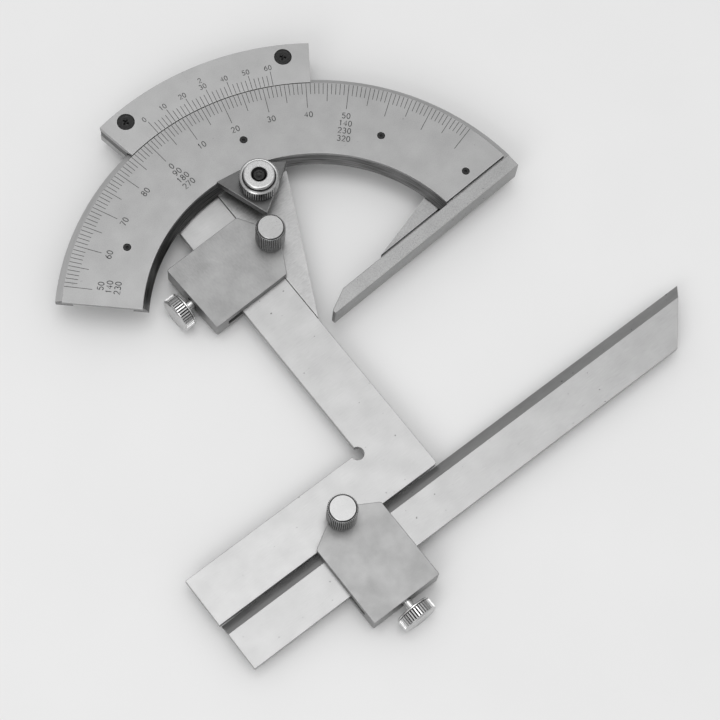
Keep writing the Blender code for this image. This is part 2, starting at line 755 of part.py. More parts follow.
def make_top_screw(number, parent, material):
    low = CLAMP_TOP + 0.2
    profile = [
        (0.0, SLOT_TOP - 0.05),
        (SCREW_SHAFT_R, SLOT_TOP - 0.05),
        (SCREW_SHAFT_R, low),
        (TOP_SCREW_R - 0.4, low),
        (TOP_SCREW_R, low + 0.4),
        (TOP_SCREW_R, TOP_SCREW_TOP - 0.45),
        (TOP_SCREW_R - 0.45, TOP_SCREW_TOP),
        (0.0, TOP_SCREW_TOP),
    ]
    solid(f"top_screw_{number}", turned(profile, 32), parent, material, (TOP_SCREW_X, 0.0, 0.0))


def make_side_screw(number, parent, material, shift):
    outer = -WHEEL_GAP - WHEEL_THICKNESS
    profile = [
        (0.0, outer),
        (WHEEL_R - 0.6, outer),
        (WHEEL_R, outer + 0.6),
        (WHEEL_R, -WHEEL_GAP - 0.6),
        (WHEEL_R - 0.6, -WHEEL_GAP),
        (SCREW_SHAFT_R, -WHEEL_GAP),
        (SCREW_SHAFT_R, WEB_THICKNESS - 0.4),
        (SCREW_TIP_R, WEB_THICKNESS),
        (SCREW_TIP_R, PAD_BACK_X + shift - FIT),
        (0.0, PAD_BACK_X + shift - FIT),
    ]
    shape = along_x(turned(profile, 24), 0.0)
    solid(f"side_screw_{number}", shape, parent, material, (0.0, 0.0, WHEEL_Z))


# ---------------------------------------------------------------- blades


def square_outline():
    """Anticlockwise from the end of the short leg, round the outer corner and up the long leg."""
    relief = (-SQUARE_WIDTH - 0.25, SQUARE_INNER_Y + 0.1)
    corner = (-SQUARE_CORNER_R, SQUARE_CORNER_Y + SQUARE_CORNER_R)
    outline = [(SQUARE_END_X, SQUARE_CORNER_Y)]
    outline += arc_points(SQUARE_CORNER_R, -90.0, 0.0, corner, 30.0)
    outline += [(0.0, SQUARE_TOP_Y), (-SQUARE_WIDTH, SQUARE_TOP_Y)]
    outline += arc_points(SQUARE_RELIEF_R, 82.0, -183.0, relief, 20.0)
    outline += [(SQUARE_END_X, SQUARE_INNER_Y)]
    return outline


def make_square(parent, material):
    square = solid("square", plate(square_outline(), SECTOR_BOTTOM, BLADE_TOP), parent, material)
    break_edges(square, 0.12)


def make_straight_rule(parent, material):
    """The knife edge's bevel is on the upper face, and the right end is cut at a slant."""
    rise = BLADE_TOP - SECTOR_BOTTOM
    slant = (RULE_EDGE_Y - RULE_BACK_Y) / tan(radians(RULE_END_DEG))
    outline = [
        (RULE_LEFT_X, RULE_BACK_Y),
        (RULE_RIGHT_X - slant, RULE_BACK_Y),
        (RULE_RIGHT_X, RULE_EDGE_Y),
        (RULE_LEFT_X, RULE_EDGE_Y),
    ]
    rule = solid("straight_rule", plate(outline, SECTOR_BOTTOM, BLADE_TOP), parent, material)
    break_edges(rule, 0.1)
    depth = RULE_EDGE_Y - RULE_BEVEL_Y
    fall = rise - RULE_EDGE_HEIGHT
    wedge = [(0.0, 0.0), (depth * 2, -fall * 2), (depth * 2, fall)]
    shape = plate(wedge, -100.0, 100.0)
    stand = Matrix.Translation((0.0, RULE_BEVEL_Y, BLADE_TOP)) @ Matrix(
        ((0.0, 0.0, 1.0, 0.0), (1.0, 0.0, 0.0, 0.0), (0.0, 1.0, 0.0, 0.0), (0.0, 0.0, 0.0, 1.0))
    )
    bmesh.ops.transform(shape, matrix=stand, verts=shape.verts)
    cut(rule, shape)


def main():
    for old in list(bpy.data.objects):
        bpy.data.objects.remove(old)

    satin = steel("satin_scale_steel", (0.62, 0.62, 0.62), 0.38)
    arc_steel = steel("machined_arc_steel", (0.42, 0.42, 0.42), 0.35)
    milled = steel("pitted_base_steel", (0.5, 0.5, 0.5), 0.45)
    ground = steel("ground_blade_steel", (0.7, 0.7, 0.7), 0.35)
    sector_steel = steel("ground_sector_steel", (0.58, 0.58, 0.58), 0.38)
    clamp_steel = steel("clamp_steel", (0.5, 0.5, 0.5), 0.42)
    bright = steel("bright_turned_steel", (0.72, 0.72, 0.72), 0.22)
    brake_steel = steel("brake_plate_steel", (0.34, 0.34, 0.34), 0.4)
    black = steel("blackened_steel", (0.02, 0.02, 0.02), 0.4)
    plain = steel("plain_steel", (0.45, 0.45, 0.45), 0.45)
    brass = steel("bush_brass", (0.62, 0.46, 0.2), 0.35)

    centre = empty("arc_centre", (ARC_CENTRE_X, ARC_CENTRE_Y, SCALE_TOP_Z))
    make_arc_body(centre, arc_steel)
    make_scale_plate(centre, satin)
    make_scale_pins(centre, black)
    make_base_rule(centre, milled)
    make_base_rule_screws(centre, black)
    make_rack(centre, plain)
    make_rack_screws(centre, black)

    sector = empty("sector_centre", (0.0, 0.0, 0.0), -READING_DEG, centre)
    make_sector_plate(sector, sector_steel)
    make_vernier_seat(sector, sector_steel)
    make_vernier_plate(sector, satin)
    make_vernier_screws(sector, black)
    make_guide_keys(sector, plain)
    make_guide_key_screws(sector, black)
    make_pinion_bush(sector, brass)
    make_pinion(sector, plain)
    make_fine_adjust_knob(sector, bright)
    make_knob_screw(sector, black)
    make_brake_stud(sector, plain)
    make_brake_end_screw(sector, black)
    make_brake_plate(sector, brake_steel)
    make_brake_nut(sector, bright)

    for number, place, shift in ((1, CLAMP_1_PLACE, PAD_1_SHIFT), (2, CLAMP_2_PLACE, PAD_2_SHIFT)):
        frame = empty(f"clamp_{number}_web", (place[0], place[1], 0.0), place[2], sector)
        make_clamp_block(number, frame, clamp_steel)
        make_clamp_pad(number, frame, plain, shift)
        make_top_screw(number, frame, bright)
        make_side_screw(number, frame, bright, shift)

    make_square(sector, ground)
    make_straight_rule(sector, ground)


main()
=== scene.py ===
"""The looks of the universal bevel protractor: finely made pieces, engraved scales and steels.

Lengths are in millimetres until a mesh is made. Each piece is drawn in the frame of what it
belongs to: the arc, the sector or a clamp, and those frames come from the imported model's joints.
"""

import json
from math import asin, atan2, cos, degrees, radians, sin, tan

import bmesh
import bpy
from mathutils import Matrix, Vector


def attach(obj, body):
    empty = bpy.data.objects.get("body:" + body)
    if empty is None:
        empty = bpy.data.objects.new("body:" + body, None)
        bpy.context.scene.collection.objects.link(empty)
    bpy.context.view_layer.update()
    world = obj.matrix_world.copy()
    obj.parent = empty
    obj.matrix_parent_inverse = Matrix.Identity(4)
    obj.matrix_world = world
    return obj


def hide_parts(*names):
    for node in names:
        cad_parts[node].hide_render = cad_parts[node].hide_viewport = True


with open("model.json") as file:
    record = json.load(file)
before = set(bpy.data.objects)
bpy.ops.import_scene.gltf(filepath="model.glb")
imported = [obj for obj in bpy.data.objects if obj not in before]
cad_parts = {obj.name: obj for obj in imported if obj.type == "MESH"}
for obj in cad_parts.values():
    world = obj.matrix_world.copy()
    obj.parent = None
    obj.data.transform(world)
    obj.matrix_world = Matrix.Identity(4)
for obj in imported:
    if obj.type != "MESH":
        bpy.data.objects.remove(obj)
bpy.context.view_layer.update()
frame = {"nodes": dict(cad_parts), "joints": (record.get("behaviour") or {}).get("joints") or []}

MM = 0.001
SMOOTH_DEG = 22.0
EDGE_DEG = 30.0
JOINTS = {joint["name"]: joint for joint in frame["joints"]}
NODES = frame["nodes"]

# Graduated arc, heights measured from the scale's top face
SCALE_INNER_R = 48.2
SCALE_OUTER_R = 70.0
SCALE_THICKNESS = 1.0
SCALE_RIGHT_END = (0.0, 2.95)
SCALE_LEFT_END = (134.0, 2.81)
BODY_INNER_R = 46.75
BODY_RIM_R = 72.06
BODY_SHOULDER_R = 70.1
BODY_BOTTOM = -4.2
BODY_RIM_TOP = -2.04
CHANNEL_INNER_R = 51.0
CHANNEL_OUTER_R = 67.3
CHANNEL_ROOF = -2.2
DECK_TOP = -1.15
BODY_RIGHT_END = (0.0, 2.6)
BODY_LEFT_END = (134.0, 2.01)
PIN_R = 1.05
PIN_GAP = 0.04
PIN_RIM = 0.09
PIN_PLACES = ((56.35, 118.8), (56.35, 71.5), (56.35, 31.8), (58.9, 6.2))

# Base rule, and its flange, whose free edge runs at an angle
BASE_LOW_Y = -1.8
BASE_HIGH_Y = 2.33
BASE_END_X = 71.05
BASE_BOTTOM = -7.7
BASE_TIP_X = 3.16
BASE_TIP_BACK = (3.06, -0.69)
BASE_SHOULDER_X = 9.5
FLANGE_TOP = -4.45
FLANGE_BOTTOM = -7.4
FLANGE_START_X = 25.3
FLANGE_EDGE_DEG = 13.45
FLANGE_EDGE_LENGTH = 45.2
FLANGE_GROOVE_Y = 4.1
FLANGE_GROOVE_Z = -5.9
FLANGE_SCREW_PLACES = ((49.0, 7.5), (68.9, 4.6), (68.9, 9.0))

# Sector and vernier
SECTOR_BOTTOM = -7.6
BLADE_TOP = -5.6
LAND_TOP = -4.5
LAND_INNER_R = 47.0
CARRIER_INNER_R = 72.36
CARRIER_OUTER_R = 82.6
CARRIER_START_DEG = 54.9
CARRIER_END_DEG = 100.5
SECTOR_EDGE_X = 0.15
SECTOR_TIP_Y = 1.9
SECTOR_SLOPE_X = -0.78
SECTOR_SLOPE = 0.484
VERNIER_INNER_R = 70.2
VERNIER_BOTTOM = -1.75
VERNIER_LIP = -0.65
SEAT_TOP = -1.9
SEAT_BOTTOM = -4.35
VERNIER_SCREW_PLACES = ((78.75, 96.0), (78.75, 60.3))
VERNIER_SCREW_HOLE_R = 1.5
VERNIER_SCREW_HEAD_R = 2.5
PINION_CENTRE_R = 60.4
PINION_DEG = 71.5
BUSH_HOLE_R = 3.15
KEY_PLACES = ((57.3, 80.25), (57.3, 86.75))
STUD_R = 2.1
BRAKE_PLACE = (9.6, 40.85)
BRAKE_LIP_R = 47.9
BRAKE_HALF_HEIGHT = 1.4

# Clamps
CLAMP_HALF_WIDTH = 10.8
CLAMP_SHOULDER_X = 24.6
CLAMP_POINT_DEG = 30.0
CLAMP_NOSE_R = 3.0
CLAMP_CORNER_R = 0.5
CLAMP_HOLE_R = 1.75
CLAMP_TOP = -3.3
CLAMP_BOTTOM = -9.6
SLOT_TOP = -5.3
SLOT_BOTTOM = -7.9
WEB_THICKNESS = 4.0
TOP_SCREW_X = 27.7
WHEEL_Z = -6.6

# Blades
SQUARE_WIDTH = 15.0
SQUARE_CORNER_Y = -50.0
SQUARE_TOP_Y = 50.0
SQUARE_END_X = -72.2
SQUARE_INNER_Y = -35.2
SQUARE_CORNER_R = 0.8
SQUARE_RELIEF_R = 1.8
RULE_EDGE_Y = -50.2
RULE_BEVEL_Y = -53.3
RULE_BACK_Y = -64.5
RULE_LEFT_X = -71.8
RULE_RIGHT_X = 85.8
RULE_END_DEG = 48.0
RULE_EDGE_HEIGHT = 0.25

# Graduations: angles run clockwise from the 0 mark, which stands at this direction
ZERO_MARK_DEG = 92.5
MARK_WIDTH = 0.16
MARK_RISE = 0.012
TEN_MARK_R = 62.3
FIVE_MARK_R = 64.26
ONE_MARK_R = 66.5
VERNIER_LONG_R = 74.7
VERNIER_SHORT_R = 73.5
VERNIER_LABEL_R = 75.95
VERNIER_UNIT_R = 78.0


# ---------------------------------------------------------------- frames


def flat_frame(point_m, x_direction):
    """A frame at a point in metres, turned about Z so that its X runs along a direction."""
    turn = Matrix.Rotation(atan2(x_direction[1], x_direction[0]), 4, "Z")
    return Matrix.Translation(Vector(point_m)) @ turn


def make_frames():
    centre = JOINTS["sector_swing"]["pos_m"]
    sector_x = JOINTS["rule_slide"]["axis"]
    frames = {"arc": flat_frame(centre, (1.0, 0.0)), "sector": flat_frame(centre, sector_x)}
    for number in (1, 2):
        inward = -Vector(JOINTS[f"pad_{number}_slide"]["axis"])
        web = Vector(JOINTS[f"top_screw_{number}_turn"]["pos_m"]) - inward * TOP_SCREW_X * MM
        frames[f"clamp_{number}"] = flat_frame((web.x, web.y, centre[2]), inward)
    return frames


FRAMES = make_frames()


def shifted(frame_name, x, y, z=0.0):
    """A frame moved to a place given in its own millimetres."""
    return FRAMES[frame_name] @ Matrix.Translation(Vector((x, y, z)) * MM)


# ---------------------------------------------------------------- shapes


def polar(radius, angle_deg):
    return (radius * cos(radians(angle_deg)), radius * sin(radians(angle_deg)))


def arc_points(radius, start_deg, end_deg, centre=(0.0, 0.0), step_deg=0.75):
    count = max(1, round(abs(end_deg - start_deg) / step_deg))
    turns = [start_deg + (end_deg - start_deg) * i / count for i in range(count + 1)]
    return [(centre[0] + x, centre[1] + y) for x, y in (polar(radius, turn) for turn in turns)]


def plate(outline, bottom, top):
    shape = bmesh.new()
    face = shape.faces.new([shape.verts.new((x, y, bottom)) for x, y in outline])
    made = bmesh.ops.extrude_face_region(shape, geom=[face])["geom"]
    raised = [item for item in made if isinstance(item, bmesh.types.BMVert)]
    bmesh.ops.translate(shape, vec=(0.0, 0.0, top - bottom), verts=raised)
    return shape


def box(low, high):
    outline = [(low[0], low[1]), (high[0], low[1]), (high[0], high[1]), (low[0], high[1])]
    return plate(outline, low[2], high[2])


def end_angle(end, radius):
    """Where a straight end, given as its direction and its offset from the centre, meets a radius."""
    direction, offset = end
    return direction + degrees(asin(offset / radius))


def swept(profile, start, end, step_deg=0.75):
    """A (radius, height) profile carried round the centre between two straight ends."""
    shape = bmesh.new()
    count = max(1, round((end[0] - start[0]) / step_deg))
    sections = []
    for i in range(count + 1):
        section = []
        for radius, height in profile:
            first = end_angle(start, radius)
            last = end_angle(end, radius)
            x, y = polar(radius, first + (last - first) * i / count)
            section.append(shape.verts.new((x, y, height)))
        sections.append(section)
    shape.faces.new(sections[0])
    shape.faces.new(sections[-1])
    for near, far in zip(sections, sections[1:]):
        for j in range(len(profile)):
            after = (j + 1) % len(profile)
            shape.faces.new((near[j], near[after], far[after], far[j]))
    return shape


def add_turned(shape, profile, segments=64, centre=(0.0, 0.0)):
    """A solid turned about Z from (radius, height) points."""
    turns = [360.0 * (i + 0.5) / segments - 90.0 for i in range(segments)]
    rings = []
    for radius, height in profile:
        if radius == 0.0:
            rings.append([shape.verts.new((*centre, height))] * segments)
            continue
        ring = [polar(radius, turn) for turn in turns]
        rings.append([shape.verts.new((centre[0] + x, centre[1] + y, height)) for x, y in ring])
    whole = profile[0][0] == 0.0
    for lower, upper in zip(rings, rings[1:] if whole else rings[1:] + rings[:1]):
        for i in range(segments):
            after = (i + 1) % segments
            corners = [lower[i], lower[after], upper[after], upper[i]]
            shape.faces.new(list(dict.fromkeys(corners)))


def turned(profile, segments=64):
    shape = bmesh.new()
    add_turned(shape, profile, segments)
    return shape


# Where a knurl's corners stand in one tooth, and which of them are at the full radius
KNURL_CORNERS = ((0.0, True), (0.42, True), (0.56, False), (0.86, False))
# Which corners of a tooth start the faces that take the painted groove shade
FLOOR_SIDE = (2,)
FLANK_AND_FLOOR = (1, 2)


def knurled(profile, teeth, depth, shaded_corners=FLANK_AND_FLOOR):
    """A solid turned about Z whose points are (radius, height) or (radius, height, kind). A kind of
    "knurl" is cut by straight teeth, and "dark" fills the face up to the next point with painted
    shade, as do the knurl's grooves."""
    shape = bmesh.new()
    rings = []
    for radius, height, *kind in profile:
        sunk = depth if "knurl" in kind else 0.0
        if radius == 0.0:
            rings.append([shape.verts.new((0.0, 0.0, height))] * teeth * len(KNURL_CORNERS))
            continue
        ring = []
        for tooth in range(teeth):
            for part, full in KNURL_CORNERS:
                x, y = polar(radius if full else radius - sunk, 360.0 * (tooth + part) / teeth)
                ring.append(shape.verts.new((x, y, height)))
        rings.append(ring)
    whole = profile[0][0] == 0.0
    for point, lower, upper in zip(profile, rings, rings[1:] if whole else rings[1:] + rings[:1]):
        for i in range(len(lower)):
            after = (i + 1) % len(lower)
            corners = [lower[i], lower[after], upper[after], upper[i]]
            face = shape.faces.new(list(dict.fromkeys(corners)))
            # Painted shade: dark faces and the faces in the knurl's grooves take the second,
            # near-black material
            in_groove = "knurl" in point and i % len(KNURL_CORNERS) in shaded_corners
            face.material_index = int("dark" in point or in_groove)
    return shape


def along_x(shape, height=0.0):
    turn = Matrix.Translation((0.0, 0.0, height)) @ Matrix.Rotation(radians(90.0), 4, "Y")
    bmesh.ops.transform(shape, matrix=turn, verts=shape.verts)
    return shape


def mesh_object(name, shape, place):
    bmesh.ops.recalc_face_normals(shape, faces=shape.faces)
    bmesh.ops.scale(shape, vec=(MM, MM, MM), verts=shape.verts)
    mesh = bpy.data.meshes.new(name)
    shape.to_mesh(mesh)
    shape.free()
    made = bpy.data.objects.new(name, mesh)
    bpy.context.scene.collection.objects.link(made)
    made.matrix_world = place
    return made


def round_edges(target, width, segments=2):
    bevel = target.modifiers.new("Edges", "BEVEL")
    bevel.width = width * MM
    bevel.segments = segments
    bevel.limit_method = "ANGLE"
    bevel.angle_limit = radians(EDGE_DEG)


def cut(target, shape, join=False):
    cutter = mesh_object(f"{target.name}_cutter", shape, target.matrix_world.copy())
    boolean = target.modifiers.new("Cut", "BOOLEAN")
    boolean.operation = "UNION" if join else "DIFFERENCE"
    boolean.object = cutter
    return cutter


def drill(target, holes, segments=40):
    """Takes turned holes out of a target: each is ((x, y), profile)."""
    shape = bmesh.new()
    for centre, profile in holes:
        add_turned(shape, profile, segments, centre)
    cut(target, shape)


def round_hole(radius, bottom, top):
    return [(0.0, bottom), (radius, bottom), (radius, top), (0.0, top)]


def two_part_hole(low_r, high_r, bottom, low_end, high_start, top):
    """A hole of two radii, which taper into each other unless they meet at one height."""
    low = [(0.0, bottom), (low_r, bottom), (low_r, low_end)]
    return low + [(high_r, high_start), (high_r, top), (0.0, top)]


def settle(target):
    """Makes a piece's modifiers part of its mesh and removes their cutters."""
    bpy.context.view_layer.update()
    graph = bpy.context.evaluated_depsgraph_get()
    mesh = bpy.data.meshes.new_from_object(target.evaluated_get(graph))
    cutters = [m.object for m in target.modifiers if m.type == "BOOLEAN"]
    target.modifiers.clear()
    target.data = mesh
    for cutter in cutters:
        bpy.data.objects.remove(cutter)


def finish_piece(target, body, material, slot, *nodes, second=None):
    """Settles a piece, shades it, gives it its materials, puts it under its body and hides the CAD
    nodes that it stands for.
    """
    settle(target)
    target.data.shade_smooth()
    target.data.set_sharp_from_angle(angle=radians(SMOOTH_DEG))
    target.data.materials.append(material)
    if second:
        target.data.materials.append(second)
    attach(target, body)
    if nodes:
        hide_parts(*nodes)


# ---------------------------------------------------------------- materials


# Noise scales are in features a millimetre
EVEN = (1.0, 1.0, 1.0)
CLOUD_SCALE = 0.16
SPECK_SCALE = 2.2
PIT_SCALE = 0.9
GRAIN_ARC_R = 30.0
# How far the edge brightening reaches: partly rubbed wear, partly painted highlight
EDGE_WEAR_AND_HIGHLIGHT_R = 0.22


class Nodes:
    """A small helper that adds nodes to a material and links them."""

    def __init__(self, name):
        self.material = bpy.data.materials.new(name)
        self.material.use_nodes = True
        self.tree = self.material.node_tree
        self.shader = self.tree.nodes["Principled BSDF"]

    def add(self, kind, **settings):
        node = self.tree.nodes.new(kind)
        for key, value in settings.items():
            setattr(node, key, value)
        return node

    def link(self, source, target):
        self.tree.links.new(source, target)

    def math(self, operation, first, second=None, clamp=False):
        node = self.add("ShaderNodeMath", operation=operation, use_clamp=clamp)
        for socket, value in zip(node.inputs, (first, second)):
            if value is None:
                continue
            if isinstance(value, (int, float)):
                socket.default_value = value
            else:
                self.link(value, socket)
        return node.outputs[0]

    def noise(self, coordinates, scale, stretch=EVEN, turn_deg=0.0, detail=3.0):
        """Noise of about scale features a millimetre, stretched along the turned axes."""
        mapping = self.add("ShaderNodeMapping")
        mapping.inputs["Scale"].default_value = [s * scale / MM for s in stretch]
        mapping.inputs["Rotation"].default_value = (0.0, 0.0, radians(turn_deg))
        self.link(coordinates, mapping.inputs["Vector"])
        noise = self.add("ShaderNodeTexNoise")
        noise.inputs["Scale"].default_value = 1.0
        noise.inputs["Detail"].default_value = detail
        self.link(mapping.outputs["Vector"], noise.inputs["Vector"])
        return noise.outputs["Fac"]

    def spread(self, value, low, high, from_low=0.3, from_high=0.7):
        node = self.add("ShaderNodeMapRange")
        ends = {"From Min": from_low, "From Max": from_high, "To Min": low, "To Max": high}
        for key, number in ends.items():
            node.inputs[key].default_value = number
        self.link(value, node.inputs["Value"])
        return node.outputs["Result"]

    def grey(self, value):
        node = self.add("ShaderNodeCombineColor")
        for socket in node.inputs:
            self.link(value, socket)
        self.link(node.outputs["Color"], self.shader.inputs["Base Color"])

    def edges(self, radius):
        """0 on faces and about 1 along edges, from how far a rounded normal leaves the true one."""
        bevel = self.add("ShaderNodeBevel", samples=4)
        bevel.inputs["Radius"].default_value = radius * MM
        geometry = self.add("ShaderNodeNewGeometry")
        dot = self.add("ShaderNodeVectorMath", operation="DOT_PRODUCT")
        self.link(bevel.outputs["Normal"], dot.inputs[0])
        self.link(geometry.outputs["Normal"], dot.inputs[1])
        return self.spread(dot.outputs["Value"], 1.0, 0.0, from_low=0.8, from_high=0.99)

    def bump(self, height, distance, strength=1.0):
        node = self.add("ShaderNodeBump")
        node.inputs["Distance"].default_value = distance * MM
        node.inputs["Strength"].default_value = strength
        self.link(height, node.inputs["Height"])
        self.link(node.outputs["Normal"], self.shader.inputs["Normal"])


def object_coordinates(nodes):
    return nodes.add("ShaderNodeTexCoord").outputs["Object"]


def turned_coordinates(nodes):
    """(radius, angle as a length of arc, height) round the piece's own Z axis."""
    split = nodes.add("ShaderNodeSeparateXYZ")
    nodes.link(object_coordinates(nodes), split.inputs[0])
    x, y, z = split.outputs
    squares = nodes.math("ADD", nodes.math("MULTIPLY", x, x), nodes.math("MULTIPLY", y, y))
    radius = nodes.math("SQRT", squares)
    angle = nodes.math("MULTIPLY", nodes.math("ARCTAN2", y, x), GRAIN_ARC_R * MM)
    joined = nodes.add("ShaderNodeCombineXYZ")
    for socket, value in zip(joined.inputs, (radius, angle, z)):
        nodes.link(value, socket)
    return joined.outputs[0]


def steel(name, level, rough, grain=EVEN, turn_deg=0.0, grain_scale=8.0, contrast=0.05, cloud=0.02,
          bump=0.004, edge_wear_and_highlight=0.12, round_grain=False, speckle=0.0, pits=0.0):
    """A bare steel: a grain of fine scratches, faint clouds, and edges made brighter, partly by
    rubbed wear and partly as painted highlight.
    """
    nodes = Nodes(name)
    shader = nodes.shader
    shader.inputs["Metallic"].default_value = 1.0
    own = object_coordinates(nodes)
    along_grain = turned_coordinates(nodes) if round_grain else own
    scratches = nodes.noise(along_grain, grain_scale, grain, turn_deg, detail=4.0)
    clouds = nodes.noise(own, CLOUD_SCALE, detail=8.0)
    value = nodes.spread(scratches, level - contrast, level + contrast)
    value = nodes.math("ADD", value, nodes.spread(clouds, -cloud, cloud))
    if speckle:
        specks = nodes.noise(own, SPECK_SCALE, detail=6.0)
        specks = nodes.spread(specks, -speckle, speckle * 0.4, from_low=0.35, from_high=0.6)
        value = nodes.math("ADD", value, specks)
    if pits:
        spots = nodes.noise(own, PIT_SCALE, detail=1.0)
        spots = nodes.spread(spots, 0.0, pits, from_low=0.765, from_high=0.79)
        value = nodes.math("SUBTRACT", value, spots)
    # Painted highlight and wear: the edge mask lightens the colour along every edge
    edge = nodes.edges(EDGE_WEAR_AND_HIGHLIGHT_R)
    value = nodes.math("ADD", value, nodes.math("MULTIPLY", edge, edge_wear_and_highlight), clamp=True)
    nodes.grey(value)
    roughness = nodes.spread(scratches, rough - 0.06, rough + 0.06)
    roughness = nodes.math("SUBTRACT", roughness, nodes.math("MULTIPLY", edge, 0.1), clamp=True)
    nodes.link(roughness, shader.inputs["Roughness"])
    nodes.bump(scratches, bump)
    return nodes.material


def black_steel(name):
    nodes = Nodes(name)
    nodes.shader.inputs["Metallic"].default_value = 0.6
    patches = nodes.noise(object_coordinates(nodes), 1.5)
    # Painted highlight and wear: edges a little lighter
    edge = nodes.math("MULTIPLY", nodes.edges(0.12), 0.07)
    nodes.grey(nodes.math("ADD", nodes.spread(patches, 0.012, 0.03), edge))
    nodes.link(nodes.spread(patches, 0.3, 0.45), nodes.shader.inputs["Roughness"])
    nodes.bump(patches, 0.004)
    return nodes.material


def engraving_black(name):
    nodes = Nodes(name)
    patches = nodes.noise(object_coordinates(nodes), 3.0)
    nodes.grey(nodes.spread(patches, 0.018, 0.05))
    nodes.link(nodes.spread(patches, 0.5, 0.7), nodes.shader.inputs["Roughness"])
    return nodes.material


def brass(name):
    nodes = Nodes(name)
    nodes.shader.inputs["Metallic"].default_value = 1.0
    lines = nodes.noise(turned_coordinates(nodes), 6.0, (1.0, 0.05, 1.0))
    mix = nodes.add("ShaderNodeMix", data_type="RGBA")
    mix.inputs["A"].default_value = (0.5, 0.34, 0.13, 1.0)
    mix.inputs["B"].default_value = (0.72, 0.54, 0.25, 1.0)
    nodes.link(lines, mix.inputs["Factor"])
    nodes.link(mix.outputs["Result"], nodes.shader.inputs["Base Color"])
    nodes.link(nodes.spread(lines, 0.25, 0.4), nodes.shader.inputs["Roughness"])
    nodes.bump(lines, 0.003)
    return nodes.material


ALONG_BLADE = (0.03, 1.0, 1.0)
ROUND = (1.0, 0.03, 1.0)
STEELS = {
    "scale": dict(name="scale_satin", level=0.355, rough=0.42, grain_scale=4.0, contrast=0.03,
                  bump=0.002, pits=0.06),
    "vernier": dict(name="vernier_satin", level=0.4, rough=0.42, grain_scale=4.0, contrast=0.03,
                    bump=0.002, pits=0.06),
    # Painted light and shade: the arc body is one machined steel, drawn as a bright copy on its
    # shoulder top and a dark copy on its walls
    "shoulder": dict(name="arc_shoulder_painted_light", level=0.6, rough=0.34, grain=(1.0, 0.02, 1.0),
                     grain_scale=9.0, bump=0.003, edge_wear_and_highlight=0.2, round_grain=True),
    "arc": dict(name="arc_turned", level=0.22, rough=0.34, grain=(1.0, 0.02, 0.6), grain_scale=9.0,
                contrast=0.14, bump=0.008, edge_wear_and_highlight=0.3, round_grain=True),
    "base": dict(name="base_rule_pitted", level=0.345, rough=0.44, grain_scale=3.0, speckle=0.04,
                 pits=0.2),
    "square": dict(name="square_ground", level=0.395, rough=0.38, grain=ALONG_BLADE, grain_scale=10.0,
                   contrast=0.04, cloud=0.025, bump=0.002, edge_wear_and_highlight=0.15, pits=0.25),
    "rule": dict(name="rule_ground", level=0.38, rough=0.38, grain=ALONG_BLADE, grain_scale=10.0,
                 contrast=0.04, bump=0.002, edge_wear_and_highlight=0.15, pits=0.25),
    "sector": dict(name="sector_ground", level=0.405, rough=0.4, grain=(0.15, 1.0, 1.0),
                   turn_deg=60.0, grain_scale=6.0, contrast=0.07, cloud=0.03, bump=0.003, edge_wear_and_highlight=0.15),
    "clamp": dict(name="clamp_satin", level=0.3, rough=0.42, grain=(1.0, 0.2, 1.0), grain_scale=5.0,
                  contrast=0.03, cloud=0.04, bump=0.002, edge_wear_and_highlight=0.4),
    "brake": dict(name="brake_satin", level=0.13, rough=0.42, grain=(0.1, 1.0, 1.0), grain_scale=7.0,
                  contrast=0.02, bump=0.003, edge_wear_and_highlight=0.5),
    "bright": dict(name="bright_turned", level=0.58, rough=0.2, grain=ROUND, bump=0.003, edge_wear_and_highlight=0.2,
                   round_grain=True),
    "nut": dict(name="satin_nut", level=0.46, rough=0.3, grain=ROUND, grain_scale=7.0, contrast=0.06,
                bump=0.003, edge_wear_and_highlight=0.35, round_grain=True),
    "wheel": dict(name="bright_wheel", level=0.58, rough=0.24, grain=ROUND, contrast=0.04, bump=0.003,
                  edge_wear_and_highlight=0.2, round_grain=True),
    "knob": dict(name="knurled_knob", level=0.36, rough=0.32, grain=ROUND, grain_scale=7.0,
                 bump=0.003, edge_wear_and_highlight=0.4, round_grain=True),
    # Painted shade: the vernier seat is the sector's ground steel made dark, standing in for the
    # shade and dark reflection on its end faces
    "seat": dict(name="vernier_seat_dark", level=0.12, rough=0.4, grain_scale=4.0, contrast=0.03,
                 edge_wear_and_highlight=0.5),
    "plain": dict(name="plain_steel", level=0.34, rough=0.45, grain_scale=4.0, contrast=0.03),
    # Painted shade: a near-black steel that stands in for the shade inside grooves, knurls and holes
    "groove": dict(name="groove_painted_shade", level=0.03, rough=0.55, grain_scale=4.0, contrast=0.01,
                   cloud=0.01, edge_wear_and_highlight=0.0),
}


def make_materials():
    looks = {look: steel(**settings) for look, settings in STEELS.items()}
    looks["black"] = black_steel("blackened_steel_look")
    looks["ink"] = engraving_black("engraving_black")
    looks["brass"] = brass("bush_brass_look")
    return looks


# ---------------------------------------------------------------- arc and base rule


